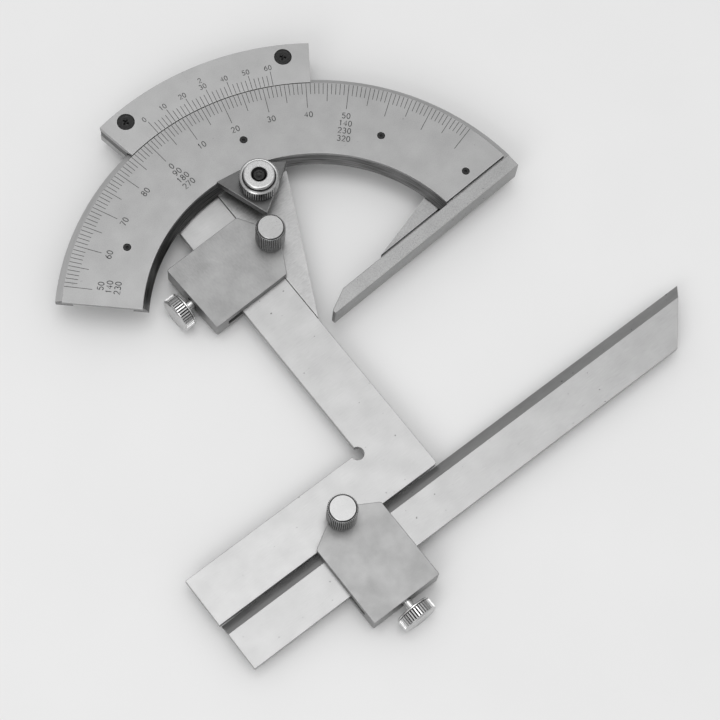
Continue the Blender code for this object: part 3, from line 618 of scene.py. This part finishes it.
def make_arc_body(looks):
    profile = [
        (BODY_INNER_R, BODY_BOTTOM + 0.15),
        (BODY_INNER_R + 0.1, BODY_BOTTOM + 0.4),
        (SCALE_INNER_R + 0.1, DECK_TOP),
        (BODY_SHOULDER_R, DECK_TOP),
        (BODY_RIM_R - 0.12, BODY_RIM_TOP + 0.04),
        (BODY_RIM_R, BODY_RIM_TOP - 0.1),
        (BODY_RIM_R, BODY_BOTTOM + 0.15),
        (BODY_RIM_R - 0.15, BODY_BOTTOM),
        (CHANNEL_OUTER_R, BODY_BOTTOM),
        (CHANNEL_OUTER_R, CHANNEL_ROOF),
        (CHANNEL_INNER_R, CHANNEL_ROOF),
        (CHANNEL_INNER_R, BODY_BOTTOM),
        (BODY_INNER_R + 0.15, BODY_BOTTOM),
    ]
    shape = swept(profile, BODY_RIGHT_END, BODY_LEFT_END)
    # Painted light and shade: the shoulder's top faces take the bright copy of the steel, the rest
    # the dark one
    for face in shape.faces:
        middle = face.calc_center_median()
        on_shoulder = middle.xy.length > SCALE_OUTER_R and middle.z > BODY_RIM_TOP - 0.1
        face.material_index = int(on_shoulder)
    body = mesh_object("arc_body_fine", shape, FRAMES["arc"])
    hole = round_hole(PIN_R + 0.15, CHANNEL_ROOF - 1.0, 1.0)
    drill(body, [(polar(*place), hole) for place in PIN_PLACES], segments=24)
    second = looks["shoulder"]
    finish_piece(body, "arc", looks["arc"], "machined_arc_steel", "arc_body", second=second)


def make_scale_plate(looks):
    edge = 0.12
    profile = [
        (SCALE_INNER_R, -SCALE_THICKNESS),
        (SCALE_INNER_R, -edge),
        (SCALE_INNER_R + edge * 0.3, -edge * 0.3),
        (SCALE_INNER_R + edge, 0.0),
        (SCALE_OUTER_R - edge * 0.5, 0.0),
        (SCALE_OUTER_R, -edge * 0.5),
        (SCALE_OUTER_R, -SCALE_THICKNESS),
    ]
    shape = swept(profile, SCALE_RIGHT_END, SCALE_LEFT_END)
    scale = mesh_object("scale_plate_fine", shape, FRAMES["arc"])
    hole = two_part_hole(PIN_R + PIN_GAP, PIN_R + PIN_RIM, -2.0, -0.05, 0.0, 1.0)
    drill(scale, [(polar(*place), hole) for place in PIN_PLACES], segments=32)
    finish_piece(scale, "arc", looks["scale"], "satin_scale_steel", "scale_plate")


def make_scale_pins(looks):
    profile = [
        (0.0, -2.1),
        (PIN_R, -2.1),
        (PIN_R, -0.2),
        (PIN_R - 0.04, -0.1),
        (PIN_R - 0.14, -0.05),
        (0.45, -0.05),
        (0.2, -0.4),
        (0.0, -0.5),
    ]
    for number, (radius, angle) in enumerate(PIN_PLACES, 1):
        x, y = polar(radius, angle)
        shape = turned(profile, segments=32)
        pin = mesh_object(f"scale_pin_fine_{number}", shape, shifted("arc", x, y))
        finish_piece(pin, "arc", looks["black"], "blackened_steel", f"scale_pin_{number}")


def make_base_rule(looks):
    outline = [
        (BASE_TIP_X, BASE_LOW_Y),
        (BASE_END_X, BASE_LOW_Y),
        (BASE_END_X, BASE_HIGH_Y),
        (BASE_SHOULDER_X, BASE_HIGH_Y),
        BASE_TIP_BACK,
    ]
    rule = mesh_object("base_rule_fine", plate(outline, BASE_BOTTOM, 0.0), FRAMES["arc"])
    round_edges(rule, width=0.16)
    reach_x, reach_y = polar(FLANGE_EDGE_LENGTH, FLANGE_EDGE_DEG)
    inside_y = BASE_HIGH_Y - 1.0
    flange = [
        (22.0, inside_y),
        (FLANGE_START_X, FLANGE_GROOVE_Y),
        (FLANGE_START_X + reach_x, FLANGE_GROOVE_Y + reach_y),
        (70.7, 10.0),
        (70.75, inside_y),
    ]
    cut(rule, plate(flange, FLANGE_BOTTOM, FLANGE_TOP), join=True)
    cut(rule, box((20.0, BASE_HIGH_Y, FLANGE_GROOVE_Z), (90.0, FLANGE_GROOVE_Y, 1.0)))
    hole = two_part_hole(1.75, 1.1, -9.0, -7.3, -6.3, -3.0)
    drill(rule, [(polar(*place), hole) for place in FLANGE_SCREW_PLACES])
    finish_piece(rule, "arc", looks["base"], "pitted_base_steel", "base_rule")


# ---------------------------------------------------------------- engraved scales


# A figure's width and pitch as parts of its height, and how wide the strokes are
FIGURE_WIDTH = 0.6
FIGURE_PITCH = 0.82
MAIN_STROKE = 0.23
VERNIER_STROKE = 0.2


def ribbon(shape, points, width, closed=False):
    """A flat stroke along points, standing just proud of the face that it is drawn on."""
    count = len(points)
    sides = []
    for i, point in enumerate(points):
        before = points[i - 1] if closed or i else point
        after = points[(i + 1) % count] if closed or i < count - 1 else point
        along = Vector((after[0] - before[0], after[1] - before[1])).normalized()
        across = Vector((-along.y, along.x)) * width / 2
        corners = [(point[0] + s * across.x, point[1] + s * across.y) for s in (1, -1)]
        left, right = [[shape.verts.new((*c, z)) for z in (-MARK_RISE, MARK_RISE)] for c in corners]
        sides.append((left[1], right[1], right[0], left[0]))
    for i in range(count if closed else count - 1):
        near = sides[i]
        far = sides[(i + 1) % count]
        for j in range(4):
            after = (j + 1) % 4
            shape.faces.new((near[j], near[after], far[after], far[j]))
    if not closed:
        shape.faces.new(sides[0])
        shape.faces.new(sides[-1])


def bow(centre, radii, start_deg, end_deg):
    """Points on part of an ellipse, without the last one if it is whole."""
    count = max(4, round(abs(end_deg - start_deg) / 18.0))
    last = count if abs(end_deg - start_deg) >= 360.0 else count + 1
    turns = [radians(start_deg + (end_deg - start_deg) * i / count) for i in range(last)]
    return [(centre[0] + radii[0] * cos(t), centre[1] + radii[1] * sin(t)) for t in turns]


def three():
    upper = bow((0.29, 0.76), (0.23, 0.24), 150.0, -80.0)
    lower = bow((0.29, 0.26), (0.28, 0.26), 80.0, -150.0)
    return [(upper + lower, False)]


def five():
    flag = [(0.53, 1.0), (0.13, 1.0), (0.08, 0.55)]
    return [(flag + bow((0.29, 0.31), (0.27, 0.31), 125.0, -150.0), False)]


def six():
    return [
        (bow((0.3, 0.3), (0.27, 0.3), 0.0, 360.0), True),
        (bow((0.63, 0.3), (0.6, 0.72), 105.0, 178.0), False),
    ]


def turned_over(strokes):
    return [([(FIGURE_WIDTH - x, 1.0 - y) for x, y in points], closed) for points, closed in strokes]


# Each figure is a list of strokes in a box FIGURE_WIDTH wide and 1 high
FIGURES = {
    "0": [(bow((0.3, 0.5), (0.27, 0.5), 0.0, 360.0), True)],
    "1": [([(0.16, 0.78), (0.34, 1.0), (0.34, 0.0)], False)],
    "2": [(bow((0.3, 0.72), (0.26, 0.28), 165.0, -38.0) + [(0.04, 0.0), (0.57, 0.0)], False)],
    "3": three(),
    "4": [([(0.44, 0.0), (0.44, 1.0), (0.03, 0.3), (0.6, 0.3)], False)],
    "5": five(),
    "6": six(),
    "7": [([(0.04, 1.0), (0.57, 1.0), (0.22, 0.0)], False)],
    "8": [
        (bow((0.3, 0.76), (0.22, 0.24), 0.0, 360.0), True),
        (bow((0.3, 0.25), (0.27, 0.26), 0.0, 360.0), True),
    ],
    "9": turned_over(six()),
}


def engrave_number(shape, text, radius, angle_deg, height, width):
    """A number centred at a place on the arc, its top towards the rim."""
    up = Vector(polar(1.0, angle_deg))
    right = Vector((up.y, -up.x))
    middle = up * radius
    length = FIGURE_PITCH * (len(text) - 1) + FIGURE_WIDTH
    for place, figure in enumerate(text):
        for points, closed in FIGURES[figure]:
            moved = []
            for x, y in points:
                across = (x + place * FIGURE_PITCH - length / 2) * height
                spot = middle + right * across + up * (y - 0.5) * height
                moved.append((spot.x, spot.y))
            ribbon(shape, moved, width, closed)


def engrave_tick(shape, angle_deg, outer_r, inner_r):
    ribbon(shape, [polar(outer_r, angle_deg), polar(inner_r, angle_deg)], MARK_WIDTH)


MAIN_FIRST = -40
MAIN_LAST = 80
MAIN_ROWS = (60.2, 57.9, 55.6, 53.15)
MAIN_LABELS = {
    -40: ("50", "140", "230"),
    -30: ("60",),
    -20: ("70",),
    -10: ("80",),
    0: ("0", "90", "180", "270"),
    10: ("10",),
    20: ("20",),
    30: ("30",),
    40: ("40",),
    50: ("50", "140", "230", "320"),
}
MAIN_FIGURE = 1.62
END_LABEL_SHIFT = 1.2
LABEL_SHIFT = 0.15


def make_main_scale(looks):
    shape = bmesh.new()
    for degree in range(MAIN_FIRST, MAIN_LAST + 1):
        coarse_r = TEN_MARK_R if degree % 10 == 0 else FIVE_MARK_R
        inner_r = coarse_r if degree % 5 == 0 else ONE_MARK_R
        engrave_tick(shape, ZERO_MARK_DEG - degree, SCALE_OUTER_R - 0.1, inner_r)
    for degree, rows in MAIN_LABELS.items():
        shift = END_LABEL_SHIFT if degree == MAIN_FIRST else LABEL_SHIFT
        for radius, text in zip(MAIN_ROWS, rows):
            angle = ZERO_MARK_DEG - degree - shift
            engrave_number(shape, text, radius, angle, MAIN_FIGURE, MAIN_STROKE)
    marks = mesh_object("main_scale_marks", shape, FRAMES["arc"])
    finish_piece(marks, "arc", looks["ink"], "blackened_steel")


DIVISIONS = 30
DIVISIONS_SPAN_DEG = 29.0
MINUTES_A_DIVISION = 2
VERNIER_FIGURE = 1.42
VERNIER_SHIFT = 0.35


def make_vernier_scale(looks):
    shape = bmesh.new()
    for i in range(DIVISIONS + 1):
        angle = ZERO_MARK_DEG - DIVISIONS_SPAN_DEG * i / DIVISIONS
        labels = []
        if i % 5 == 0:
            labels.append((VERNIER_LABEL_R, str(i * MINUTES_A_DIVISION)))
        if i == DIVISIONS // 2:
            labels.append((VERNIER_UNIT_R, str(MINUTES_A_DIVISION)))
        outer_r = VERNIER_LONG_R if labels else VERNIER_SHORT_R
        engrave_tick(shape, angle, outer_r, VERNIER_INNER_R + 0.08)
        for radius, text in labels:
            engrave_number(shape, text, radius, angle + VERNIER_SHIFT, VERNIER_FIGURE, VERNIER_STROKE)
    marks = mesh_object("vernier_scale_marks", shape, FRAMES["sector"])
    finish_piece(marks, "sector", looks["ink"], "blackened_steel")


# ---------------------------------------------------------------- sector


def sector_edge(height):
    return SECTOR_SLOPE_X + SECTOR_SLOPE * height


def make_sector_plate(looks):
    outline = [(SECTOR_EDGE_X, SECTOR_TIP_Y), (sector_edge(2.2), 2.2)]
    outline += arc_points(CARRIER_INNER_R, 64.1, CARRIER_START_DEG)
    outline += arc_points(CARRIER_OUTER_R, CARRIER_START_DEG, CARRIER_END_DEG)
    outline += arc_points(CARRIER_INNER_R, CARRIER_END_DEG, 89.88)
    shape = plate(outline, SECTOR_BOTTOM, LAND_TOP)
    sector = mesh_object("sector_plate_fine", shape, FRAMES["sector"])
    cut(sector, turned(round_hole(LAND_INNER_R, BLADE_TOP, 0.0), segments=360))
    round_edges(sector, width=0.12)
    low = SECTOR_BOTTOM - 1.4
    high = LAND_TOP + 1.5
    bush_hole = round_hole(BUSH_HOLE_R, low, high)
    screw_hole = round_hole(VERNIER_SCREW_HOLE_R, low, high)
    stud_hole = two_part_hole(3.3, STUD_R, low, -6.7, -6.7, BLADE_TOP + 0.6)
    key_hole = two_part_hole(1.8, 1.1, low, -6.6, -6.6, high)
    holes = [(polar(PINION_CENTRE_R, PINION_DEG), bush_hole), (BRAKE_PLACE, stud_hole)]
    holes += [(polar(*place), key_hole) for place in KEY_PLACES]
    holes += [(polar(*place), screw_hole) for place in VERNIER_SCREW_PLACES]
    drill(sector, holes)
    finish_piece(sector, "sector", looks["sector"], "ground_sector_steel", "sector_plate")


def make_vernier_seat(looks):
    low = CARRIER_INNER_R + 0.04
    high = CARRIER_OUTER_R - 0.2
    profile = [(low, SEAT_BOTTOM), (low, SEAT_TOP), (high, SEAT_TOP), (high, SEAT_BOTTOM)]
    shape = swept(profile, (CARRIER_START_DEG, 0.0), (CARRIER_END_DEG, 0.0))
    seat = mesh_object("vernier_seat_fine", shape, FRAMES["sector"])
    round_edges(seat, width=0.1)
    hole = round_hole(VERNIER_SCREW_HOLE_R, -6.0, 0.0)
    drill(seat, [(polar(*place), hole) for place in VERNIER_SCREW_PLACES])
    finish_piece(seat, "sector", looks["seat"], "ground_sector_steel", "vernier_seat")


def make_vernier_plate(looks):
    profile = [
        (VERNIER_INNER_R, VERNIER_LIP),
        (VERNIER_INNER_R, 0.0),
        (CARRIER_OUTER_R, 0.0),
        (CARRIER_OUTER_R, VERNIER_BOTTOM),
        (CARRIER_INNER_R + 0.3, VERNIER_BOTTOM),
    ]
    shape = swept(profile, (CARRIER_START_DEG, 0.0), (CARRIER_END_DEG, 0.0))
    vernier = mesh_object("vernier_plate_fine", shape, FRAMES["sector"])
    round_edges(vernier, width=0.07)
    hole = two_part_hole(VERNIER_SCREW_HOLE_R, VERNIER_SCREW_HEAD_R, -3.0, -1.25, -0.25, 1.0)
    drill(vernier, [(polar(*place), hole) for place in VERNIER_SCREW_PLACES], segments=48)
    finish_piece(vernier, "sector", looks["vernier"], "satin_scale_steel", "vernier_plate")


def make_vernier_screws(looks):
    profile = [
        (0.0, -7.2),
        (1.25, -7.2),
        (1.25, -1.25),
        (2.3, -0.25),
        (2.36, -0.16),
        (2.33, -0.06),
        (2.1, 0.04),
        (1.85, 0.04),
        (1.75, -0.06),
        (1.6, -0.08),
        (1.2, -0.06),
        (0.0, -0.04),
    ]
    for number, (radius, angle) in enumerate(VERNIER_SCREW_PLACES, 1):
        x, y = polar(radius, angle)
        place = shifted("sector", x, y) @ Matrix.Rotation(radians(20.0 * number), 4, "Z")
        screw = mesh_object(f"vernier_screw_fine_{number}", turned(profile, segments=48), place)
        for turn in (0.0, 90.0):
            arm = turned([(0.0, -0.9), (0.6, -0.75), (1.9, 0.3), (0.0, 0.3)], segments=4)
            bmesh.ops.scale(arm, vec=(1.0, 0.3, 1.0), verts=arm.verts)
            bmesh.ops.rotate(arm, matrix=Matrix.Rotation(radians(turn), 3, "Z"), verts=arm.verts)
            cut(screw, arm)
        finish_piece(screw, "sector", looks["black"], "blackened_steel", f"vernier_screw_{number}")


# ---------------------------------------------------------------- brake and fine adjustment


def make_brake_plate(looks):
    outline = [(0.5, 48.2), (6.0, 32.4), (19.8, 41.6)]
    outline += [(16.4, 43.9), (12.2, 45.85), (7.7, 47.3)]
    shape = plate(outline, -BRAKE_HALF_HEIGHT, BRAKE_HALF_HEIGHT)
    brake = mesh_object("brake_plate_fine", shape, FRAMES["sector"])
    round_edges(brake, width=0.22)
    lip = [(BRAKE_LIP_R, -3.0), (60.0, -3.0), (60.0, 0.3), (BRAKE_LIP_R, 0.3)]
    cut(brake, swept(lip, (60.0, 0.0), (100.0, 0.0)))
    drill(brake, [(BRAKE_PLACE, round_hole(STUD_R, -3.0, 3.0))])
    finish_piece(brake, "brake", looks["brake"], "brake_plate_steel", "brake_plate")


def make_brake_nut(looks):
    profile = [
        (2.25, 1.6),
        (5.0, 1.6),
        (5.1, 1.65),
        (5.5, 2.0, "knurl"),
        (5.5, 5.5, "knurl"),
        (5.42, 5.75),
        (5.15, 6.0),
        (5.0, 6.06),
        # Painted shade in the ring groove between the boss and the knurl
        (4.68, 6.0, "dark"),
        (4.6, 5.8, "dark"),
        (4.42, 5.8),
        (4.37, 6.3),
        (4.37, 7.05),
        (4.3, 7.22),
        (4.12, 7.36),
        (3.95, 7.4),
        (3.85, 7.4),
        (2.5, 7.4),
        (2.4, 7.4),
        (2.22, 7.32),
        (2.1, 7.1),
        # Painted shade down the wall and bottom of the hole
        (2.05, 6.4, "dark"),
        (1.7, 6.2, "dark"),
        (1.7, 5.3),
        (2.25, 5.3),
    ]
    shape = knurled(profile, teeth=52, depth=0.24)
    nut = mesh_object("brake_nut_fine", shape, shifted("sector", *BRAKE_PLACE))
    name = "brake_nut"
    finish_piece(nut, name, looks["nut"], "bright_turned_steel", name, second=looks["groove"])


def make_brake_end_screw(looks):
    profile = [
        (0.0, 5.35),
        (1.45, 5.35),
        (1.6, 5.5),
        (1.6, 6.7),
        (1.5, 6.86),
        (1.3, 6.92),
        (1.0, 6.88),
        (0.95, 6.4),
        (0.4, 6.3),
        (0.22, 6.5),
        (0.0, 6.55),
    ]
    shape = turned(profile, segments=48)
    screw = mesh_object("brake_end_screw_fine", shape, shifted("sector", *BRAKE_PLACE))
    finish_piece(screw, "sector", looks["black"], "blackened_steel", "brake_end_screw")


def make_fine_adjust_knob(looks):
    bottom = -JOINTS["sector_swing"]["pos_m"][2] / MM
    profile = [
        (2.9, bottom),
        (7.3, bottom),
        (7.5, bottom + 0.08),
        (8.0, bottom + 0.55, "knurl"),
        (8.0, -8.75, "knurl"),
        (7.5, -8.28),
        (7.3, -8.2),
        (1.85, -8.2),
        (1.85, -10.2),
        (2.9, -10.2),
    ]
    x, y = polar(PINION_CENTRE_R, PINION_DEG)
    shape = knurled(profile, teeth=60, depth=0.25)
    knob = mesh_object("fine_adjust_knob_fine", shape, shifted("sector", x, y))
    body, node = "fine_adjuster", "fine_adjust_knob"
    finish_piece(knob, body, looks["bright"], "bright_turned_steel", node, second=looks["groove"])


# ---------------------------------------------------------------- clamps


def clamp_outline():
    slope = radians(CLAMP_POINT_DEG)
    half = CLAMP_HALF_WIDTH
    nose_x = CLAMP_SHOULDER_X + half * tan(slope) - CLAMP_NOSE_R / cos(slope)
    nose = arc_points(CLAMP_NOSE_R, -CLAMP_POINT_DEG, CLAMP_POINT_DEG, (nose_x, 0.0), step_deg=4.0)
    return [(0.0, -half), (CLAMP_SHOULDER_X, -half), *nose, (CLAMP_SHOULDER_X, half), (0.0, half)]


def soften_corners(target, width):
    """Rounds the upright corners of a plate."""
    shape = bmesh.new()
    shape.from_mesh(target.data)
    upright = [e for e in shape.edges if abs((e.verts[0].co - e.verts[1].co).normalized().z) > 0.99]
    sharp = [e for e in upright if e.calc_face_angle() > radians(20.0)]
    bmesh.ops.bevel(shape, geom=sharp, offset=width * MM, segments=5, profile=0.5, affect="EDGES")
    shape.to_mesh(target.data)
    shape.free()


def make_clamp(number, looks):
    place = FRAMES[f"clamp_{number}"]
    shape = plate(clamp_outline(), CLAMP_BOTTOM, CLAMP_TOP)
    block = mesh_object(f"clamp_block_fine_{number}", shape, place)
    soften_corners(block, CLAMP_CORNER_R)
    round_edges(block, width=0.18)
    cut(block, box((WEB_THICKNESS, -20.0, SLOT_BOTTOM), (60.0, 20.0, SLOT_TOP)))
    drill(block, [((TOP_SCREW_X, 0.0), round_hole(CLAMP_HOLE_R, -6.0, 0.0))])
    cut(block, along_x(turned(round_hole(CLAMP_HOLE_R, -2.0, 5.0), segments=40), WHEEL_Z))
    node = f"clamp_block_{number}"
    finish_piece(block, f"clamp_{number}", looks["clamp"], "clamp_steel", node)


def make_top_screw(number, looks):
    profile = [
        (0.0, -5.35),
        (1.2, -5.35),
        (1.45, -5.1),
        (1.45, -3.1),
        (3.6, -3.1),
        (3.7, -3.05),
        (4.1, -2.7, "knurl"),
        (4.1, 4.05, "knurl"),
        (3.8, 4.5),
        # Painted shade in the ring groove under the top's rim
        (3.74, 4.52, "dark"),
        (3.58, 4.3, "dark"),
        (3.52, 4.6),
        (3.48, 4.82),
        (3.36, 4.9),
        (0.0, 4.9),
    ]
    place = FRAMES[f"clamp_{number}"] @ Matrix.Translation((TOP_SCREW_X * MM, 0.0, 0.0))
    screw = mesh_object(f"top_screw_fine_{number}", knurled(profile, teeth=46, depth=0.24), place)
    name = f"top_screw_{number}"
    finish_piece(screw, name, looks["knob"], "bright_turned_steel", name, second=looks["groove"])


def make_side_screw(number, looks):
    tip = 5.45 if number == 1 else 6.1
    outer = -6.2
    profile = [
        (0.0, outer + 0.1),
        (4.1, outer + 0.1),
        (4.2, outer),
        (4.6, outer),
        (4.95, outer + 0.3),
        (5.0, outer + 0.42),
        (5.05, outer + 0.5, "knurl"),
        (5.05, -3.15, "knurl"),
        # Painted shade on the step beside the knurl
        (4.85, -3.1, "dark"),
        (4.85, -2.95),
        (5.0, -2.88),
        (5.0, -2.6),
        (4.8, -2.4),
        (2.3, -2.4),
        (1.9, -2.2),
        (1.3, -2.1),
        (1.3, 3.6),
        (1.0, 4.0),
        (1.0, tip),
        (0.0, tip),
    ]
    place = FRAMES[f"clamp_{number}"] @ Matrix.Translation((0.0, 0.0, WHEEL_Z * MM))
    shape = along_x(knurled(profile, teeth=40, depth=0.28, shaded_corners=FLOOR_SIDE))
    screw = mesh_object(f"side_screw_fine_{number}", shape, place)
    name = f"side_screw_{number}"
    finish_piece(screw, name, looks["wheel"], "bright_turned_steel", name, second=looks["groove"])


# ---------------------------------------------------------------- blades


def make_square(looks):
    relief = (-SQUARE_WIDTH - 0.25, SQUARE_INNER_Y + 0.1)
    corner = (-SQUARE_CORNER_R, SQUARE_CORNER_Y + SQUARE_CORNER_R)
    outline = [(SQUARE_END_X, SQUARE_CORNER_Y)]
    outline += arc_points(SQUARE_CORNER_R, -90.0, 0.0, corner, step_deg=10.0)
    outline += [(0.0, SQUARE_TOP_Y), (-SQUARE_WIDTH, SQUARE_TOP_Y)]
    outline += arc_points(SQUARE_RELIEF_R, 82.0, -183.0, relief, step_deg=6.0)
    outline += [(SQUARE_END_X, SQUARE_INNER_Y)]
    square = mesh_object("square_fine", plate(outline, SECTOR_BOTTOM, BLADE_TOP), FRAMES["sector"])
    round_edges(square, width=0.12)
    finish_piece(square, "square", looks["square"], "ground_blade_steel", "square")


def make_straight_rule(looks):
    slant = (RULE_EDGE_Y - RULE_BACK_Y) / tan(radians(RULE_END_DEG))
    outline = [
        (RULE_LEFT_X, RULE_BACK_Y),
        (RULE_RIGHT_X - slant, RULE_BACK_Y),
        (RULE_RIGHT_X, RULE_EDGE_Y),
        (RULE_LEFT_X, RULE_EDGE_Y),
    ]
    shape = plate(outline, SECTOR_BOTTOM, BLADE_TOP)
    rule = mesh_object("straight_rule_fine", shape, FRAMES["sector"])
    depth = RULE_EDGE_Y - RULE_BEVEL_Y
    fall = BLADE_TOP - SECTOR_BOTTOM - RULE_EDGE_HEIGHT
    wedge = plate([(0.0, 0.0), (depth * 2, -fall * 2), (depth * 2, fall)], -100.0, 100.0)
    stand = Matrix.Translation((0.0, RULE_BEVEL_Y, BLADE_TOP)) @ Matrix(
        ((0.0, 0.0, 1.0, 0.0), (1.0, 0.0, 0.0, 0.0), (0.0, 1.0, 0.0, 0.0), (0.0, 0.0, 0.0, 1.0))
    )
    bmesh.ops.transform(wedge, matrix=stand, verts=wedge.verts)
    cut(rule, wedge)
    settle(rule)
    round_edges(rule, width=0.09)
    finish_piece(rule, "straight_rule", looks["rule"], "ground_blade_steel", "straight_rule")


# ---------------------------------------------------------------- what is left of the CAD model


CAD_LOOKS = {
    "blackened_steel": "black",
    "plain_steel": "plain",
    "bush_brass": "brass",
}


def dress_cad_nodes(looks):
    """The hidden and underside pieces keep their CAD shape and get a finished material."""
    for node in NODES.values():
        if node.hide_render:
            continue
        for slot in node.material_slots:
            slot.material = looks[CAD_LOOKS[slot.material.name]]


# ---------------------------------------------------------------- stage, light and camera


# Places and sizes in metres, and in millimetres how far the floor is below the part
FLOOR_SIZE = 6.0
FLOOR_DROP = 0.02
CAMERA_PLACE = (-0.150675, -0.142841, 0.535290)
CAMERA_TARGET = (-0.004289, -0.017999, 0.011660)
CAMERA_ROLL_DEG = 8.34
CAMERA_LENS = 104.3
HORIZON_LIGHT = 0.25
ZENITH_LIGHT = 0.95


def make_floor():
    shape = bmesh.new()
    bmesh.ops.create_grid(shape, x_segments=1, y_segments=1, size=FLOOR_SIZE / 2)
    mesh = bpy.data.meshes.new("floor")
    shape.to_mesh(mesh)
    shape.free()
    floor = bpy.data.objects.new("floor", mesh)
    bpy.context.scene.collection.objects.link(floor)
    nodes = Nodes("pale_floor")
    tone = nodes.noise(object_coordinates(nodes), 0.02)
    nodes.grey(nodes.spread(tone, 0.8, 0.82))
    nodes.shader.inputs["Roughness"].default_value = 0.7
    mesh.materials.append(nodes.material)
    floor.location.z = -FLOOR_DROP * MM


def make_light(name, place, size, power):
    """A square softbox that faces the part."""
    data = bpy.data.lights.new(name, "AREA")
    data.size = size
    data.energy = power
    light = bpy.data.objects.new(name, data)
    bpy.context.scene.collection.objects.link(light)
    light.location = place
    light.rotation_euler = (-Vector(place)).to_track_quat("-Z", "Y").to_euler()


def make_studio():
    world = bpy.data.worlds.new("studio")
    bpy.context.scene.world = world
    world.use_nodes = True
    tree = world.node_tree
    background = tree.nodes["Background"]
    background.inputs["Color"].default_value = (1.0, 1.0, 1.0, 1.0)
    direction = tree.nodes.new("ShaderNodeSeparateXYZ")
    tree.links.new(tree.nodes.new("ShaderNodeTexCoord").outputs["Generated"], direction.inputs[0])
    height = tree.nodes.new("ShaderNodeMapRange")
    height.inputs["To Min"].default_value = HORIZON_LIGHT
    height.inputs["To Max"].default_value = ZENITH_LIGHT
    tree.links.new(direction.outputs["Z"], height.inputs["Value"])
    tree.links.new(height.outputs["Result"], background.inputs["Strength"])
    make_light("overhead_softbox", place=(0.05, 0.12, 1.6), size=0.9, power=4.8)
    make_light("side_softbox", place=(-1.3, -0.5, 1.1), size=0.9, power=6.0)
    bpy.context.scene.view_settings.view_transform = "Standard"


def make_camera():
    data = bpy.data.cameras.new("camera")
    data.lens = CAMERA_LENS
    data.sensor_width = 36.0
    data.clip_start = 0.01
    data.clip_end = 20.0
    camera = bpy.data.objects.new("camera", data)
    bpy.context.scene.collection.objects.link(camera)
    towards = Vector(CAMERA_TARGET) - Vector(CAMERA_PLACE)
    look = towards.to_track_quat("-Z", "Y").to_matrix().to_4x4()
    roll = Matrix.Rotation(radians(CAMERA_ROLL_DEG), 4, "Z")
    camera.matrix_world = Matrix.Translation(Vector(CAMERA_PLACE)) @ look @ roll
    bpy.context.scene.camera = camera


def main():
    make_camera()
    make_studio()
    make_floor()
    looks = make_materials()
    make_arc_body(looks)
    make_scale_plate(looks)
    make_scale_pins(looks)
    make_base_rule(looks)
    make_main_scale(looks)
    make_vernier_scale(looks)
    make_sector_plate(looks)
    make_vernier_seat(looks)
    make_vernier_plate(looks)
    make_vernier_screws(looks)
    make_brake_plate(looks)
    make_brake_nut(looks)
    make_brake_end_screw(looks)
    make_fine_adjust_knob(looks)
    for number in (1, 2):
        make_clamp(number, looks)
        make_top_screw(number, looks)
        make_side_screw(number, looks)
    make_square(looks)
    make_straight_rule(looks)
    dress_cad_nodes(looks)


main()
